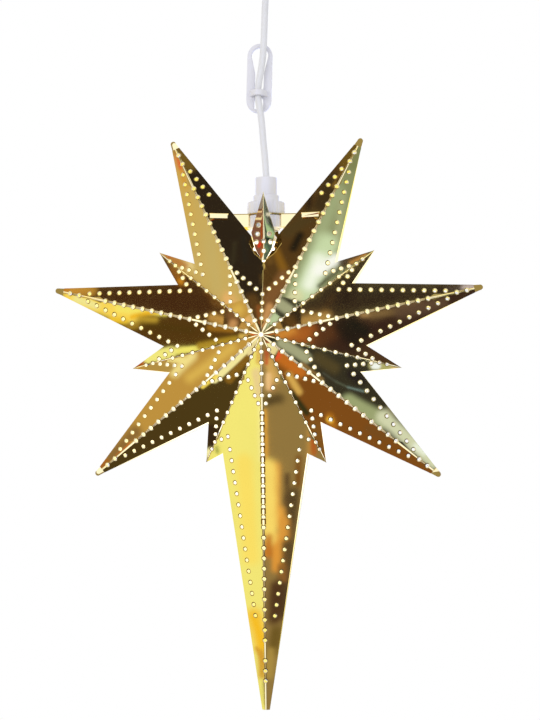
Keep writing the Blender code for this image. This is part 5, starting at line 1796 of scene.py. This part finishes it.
def capsule(
    graph: NodeGraph, place: bpy.types.NodeSocket, start: Vector, end: Vector, limits: Point,
) -> bpy.types.NodeSocket:
    """How far a place lies within a soft-edged stroke.

    Args:
        graph: The nodes to add to.
        place: The place looked at.
        start: The stroke's start.
        end: The stroke's end.
        limits: Distances from the stroke's line where it starts and ends to fade.

    Returns:
        One inside the stroke, and nought outside it.
    """
    offset = graph.vector("SUBTRACT", {0: place, 1: start}).outputs[0]
    span = end - start
    share = graph.vector("DOT_PRODUCT", {0: offset, 1: span / span.length_squared})
    share = graph.sum_up("ADD", share.outputs["Value"], 0.0, clamp=True)
    nearest = graph.vector("SCALE", {0: tuple(span), "Scale": share}).outputs[0]
    offset = graph.vector("SUBTRACT", {0: offset, 1: nearest}).outputs[0]
    distance = graph.vector("LENGTH", {0: offset}).outputs["Value"]
    return graph.ramp(distance, limits, 1.0, 0.0, soft=True)


def grown(corners: list[Point], margin: float) -> list[Point]:
    """An anticlockwise outline moved outwards by a margin."""
    made = []
    befores, afters = corners[-1:] + corners[:-1], corners[1:] + corners[:1]
    for before, corner, after in zip(befores, corners, afters):
        pairs = ((before, corner), (corner, after))
        sides = [(Vector(b) - Vector(a)).normalized() for a, b in pairs]
        outs = [Vector((run.y, -run.x)) for run in sides]
        most = LONGEST_CORNER * margin / (outs[0] + outs[1]).length
        share = min(margin / (1 + outs[0].dot(outs[1])), most)
        made.append(tuple(Vector(corner) + (outs[0] + outs[1]) * share))
    return made


@dataclass
class Screen:
    """A screen beside the camera, in the place that one flat leaf of brass mirrors."""

    name: str
    corners: list[Vector]
    marks: list[Point]
    normal: Vector
    wall: Wall

    def build(self, eye: Vector, behind: bool) -> bpy.types.Object:
        """Makes the screen.

        Args:
            eye: The camera's place.
            behind: Whether it's the copy that the back of the star mirrors.

        Returns:
            The screen's object.
        """
        image = eye - 2 * (eye - self.corners[0]).dot(self.normal) * self.normal
        points = [image + self.wall.reach * (corner - image) for corner in self.corners]
        if behind:
            points = [Vector((point.x, -point.y, point.z)) for point in points]
        mesh = bpy.data.meshes.new(self.name)
        mesh.from_pydata(points, [], [tuple(range(len(points)))])
        marks = mesh.uv_layers.new(name="marks")
        for corner, mark in zip(marks.data, self.marks):
            corner.uv = mark
        mesh.materials.append(self.material())
        made = linked(self.name, mesh)
        for kind in ("camera", "diffuse", "transmission", "shadow", "volume_scatter"):
            setattr(made, "visible_" + kind, False)
        return made

    def material(self) -> bpy.types.Material:
        """The screen's wall and cards as a glowing material."""
        made = bpy.data.materials.get(self.name)
        if made is not None:
            return made
        made = bpy.data.materials.new(self.name)
        graph = NodeGraph(made)
        place = graph.add("UVMap", uv_map="marks").outputs[0]
        colour = light_for(self.wall.shown)
        for card in (Card(*row) for row in self.wall.rows):
            start, end = Vector((*card.start, 0)), Vector((*card.end, 0))
            limits = (card.half_width - card.soft / 2, card.half_width + card.soft / 2)
            share = capsule(graph, place, start, end, limits)
            colour = graph.blend(share, colour, light_for(card.shown))
        glow = graph.add("Emission", {"Color": colour}).outputs[0]
        graph.add("OutputMaterial", {"Surface": glow})
        return made


@dataclass
class Studio:
    """Camera, floor, soft lamps and the room that the brass mirrors."""

    camera_place: tuple[float, float, float] = (0.15083, -1.500, -0.51770)
    camera_yaw: float = radians(5.5913)
    camera_pitch: float = radians(2.4452)
    lens: float = 73.029
    sensor: float = 36.0
    walls: tuple[Wall, ...] = WALLS
    screen_margin: float = 6.0
    floor_z: float = -2.4
    floor_radius: float = 7.2
    floor_sides: int = 96
    glint: Colour = (1.05, 1.0, 0.82)
    glint_angles: Point = (radians(7), radians(42))
    glint_soft: float = radians(3)
    view_axis: tuple[float, float, float] = (-0.1, -0.993, 0.06)
    room_span: Point = (-0.9, 0.9)
    warm_side: tuple[Colour, Colour] = ((0.09, 0.045, 0.018), (0.85, 0.72, 0.45))
    cool_side: tuple[Colour, Colour] = ((0.05, 0.03, 0.018), (0.42, 0.50, 0.46))
    even_light: Colour = (0.80, 0.80, 0.82)
    backdrop: Colour = (1.0, 1.0, 1.0)
    lamp_side: float = 1.2
    lamp_aim: tuple[float, float, float] = (0.0, 0.0, -0.3)
    lamps: tuple[tuple, ...] = (
        ("key_lamp", (-1.6, -1.8, 0.5), 14.0, (1.0, 0.98, 0.95)),
        ("fill_lamp", (1.8, -1.4, -0.2), 6.0, (0.93, 0.96, 1.0)),
        ("back_lamp", (0.4, 2.0, 0.4), 8.0, (1.0, 1.0, 1.0)),
    )

    def shoot(self) -> None:
        """Places the camera at the photograph's angle."""
        data = bpy.data.cameras.new("camera")
        data.lens = self.lens
        data.sensor_width = self.sensor
        made = linked("camera", data)
        made.location = self.camera_place
        made.rotation_euler = Euler((pi / 2 + self.camera_pitch, 0, self.camera_yaw))
        bpy.context.scene.camera = made

    def light_room(self) -> None:
        """Makes the world: white to the camera, even grey on surfaces, a dim room in the brass."""
        world = bpy.data.worlds.new("studio")
        bpy.context.scene.world = world
        world.cycles.sampling_method = "NONE"
        graph = NodeGraph(world)
        direction = graph.add("TexCoord").outputs["Generated"]
        parts = graph.add("SeparateXYZ", {0: direction})
        front = graph.sum_up("MULTIPLY", graph.sum_up("ABSOLUTE", parts.outputs[1]), -1.0)
        inputs = {0: parts.outputs[0], 1: front, 2: parts.outputs[2]}
        direction = graph.add("CombineXYZ", inputs).outputs[0]
        rise, drift = (graph.ramp(parts.outputs[axis], self.room_span) for axis in (2, 0))
        warm, cool = (graph.blend(rise, *pair) for pair in (self.warm_side, self.cool_side))
        room = graph.blend(drift, warm, cool)
        off_axis = graph.vector("DOT_PRODUCT", {0: direction, 1: self.view_axis}).outputs["Value"]
        off_axis = graph.sum_up("ARCCOSINE", off_axis)
        half = self.glint_soft / 2
        near, far = ((angle - half, angle + half) for angle in self.glint_angles)
        rising = graph.ramp(off_axis, near, soft=True)
        ring = graph.sum_up("MULTIPLY", rising, graph.ramp(off_axis, far, 1.0, 0.0, soft=True))
        room = graph.blend(ring, room, light_for(self.glint))
        path = graph.add("LightPath")
        seen = graph.blend(path.outputs["Is Glossy Ray"], self.even_light, room)
        clear = graph.sum_up(
            "MAXIMUM", path.outputs["Is Camera Ray"], path.outputs["Is Transmission Ray"],
        )
        seen = graph.blend(clear, seen, self.backdrop)
        background = graph.add("Background", {"Color": seen, "Strength": 1.0})
        graph.add("OutputWorld", {"Surface": background.outputs[0]})

    def hang_screens(self) -> None:
        """Hangs a screen with its cards for every facet, on both sides of the star."""
        shape = StarShape()
        sheet = FoldedSheet("front_shell", -1, False)
        for wall in self.walls:
            if wall.ray == POINT_RAY:
                facet = sheet.point_leaf(wall.side)
                marks = grown(list(POINT_MARKS), self.screen_margin / 2)
                corners = [
                    facet.origin + facet.right * (along * MM) + facet.up * (across * MM)
                    for along, across in marks
                ]
            else:
                facet = Facet(shape, wall.ray, wall.side, -1)
                end = (facet.cut, facet.cut_half)
                marks = [(0, 0), (facet.cut, 0), end, facet.notch, facet.tip]
                marks = grown([tuple(Vector(mark) / MM) for mark in marks], self.screen_margin)
                corners = [facet.at(along * MM, across * MM) for along, across in marks]
            name = f"screen_{wall.ray}_{'right' if wall.side > 0 else 'left'}"
            screen = Screen(name, corners, marks, facet.normal, wall)
            for behind in (False, True):
                screen.build(Vector(self.camera_place), behind)

    def lay_floor(self) -> None:
        """Lays the plain pale floor below the star."""
        work = bmesh.new()
        rim = arc((0, 0), self.floor_radius, 0, 2 * pi, self.floor_sides)[:-1]
        work.faces.new([work.verts.new((x, y, self.floor_z)) for x, y in rim])
        mesh = mesh_of(work, "floor")
        mesh.materials.append(PALE_FLOOR.material())
        floor = linked("floor", mesh)
        floor.visible_glossy = False

    def hang_lamp(self, name: str, place: tuple, watts: float, colour: Colour) -> None:
        """Hangs a soft square lamp that points at the star and isn't seen in the brass.

        Args:
            name: The lamp's name.
            place: Where it hangs.
            watts: Its power.
            colour: The colour of its light.
        """
        data = bpy.data.lights.new(name, "AREA")
        data.size = self.lamp_side
        data.energy = watts
        data.color = colour
        made = linked(name, data)
        made.location = place
        aim = Vector(self.lamp_aim) - Vector(place)
        made.rotation_euler = aim.to_track_quat("-Z", "Y").to_euler()
        made.visible_glossy = False

    def build(self) -> None:
        """Sets up the whole studio."""
        self.shoot()
        self.light_room()
        self.hang_screens()
        self.lay_floor()
        for lamp in self.lamps:
            self.hang_lamp(*lamp)
        bpy.context.scene.view_settings.view_transform = "Standard"


def main() -> None:
    """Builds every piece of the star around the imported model."""
    logging.basicConfig(level=logging.INFO, format="%(name)s: %(message)s")
    Studio().build()
    HangingCord().build(Adjuster().build())
    FoldedSheet("front_shell", -1, False).build()
    FoldedSheet("back_shell", 1, True).build()
    LampBridge().build()
    Lampholder().build()
    CeilingRose().build()
    Suspension().dress()
    Lamp().build()


if __name__ == "__main__":
    main()
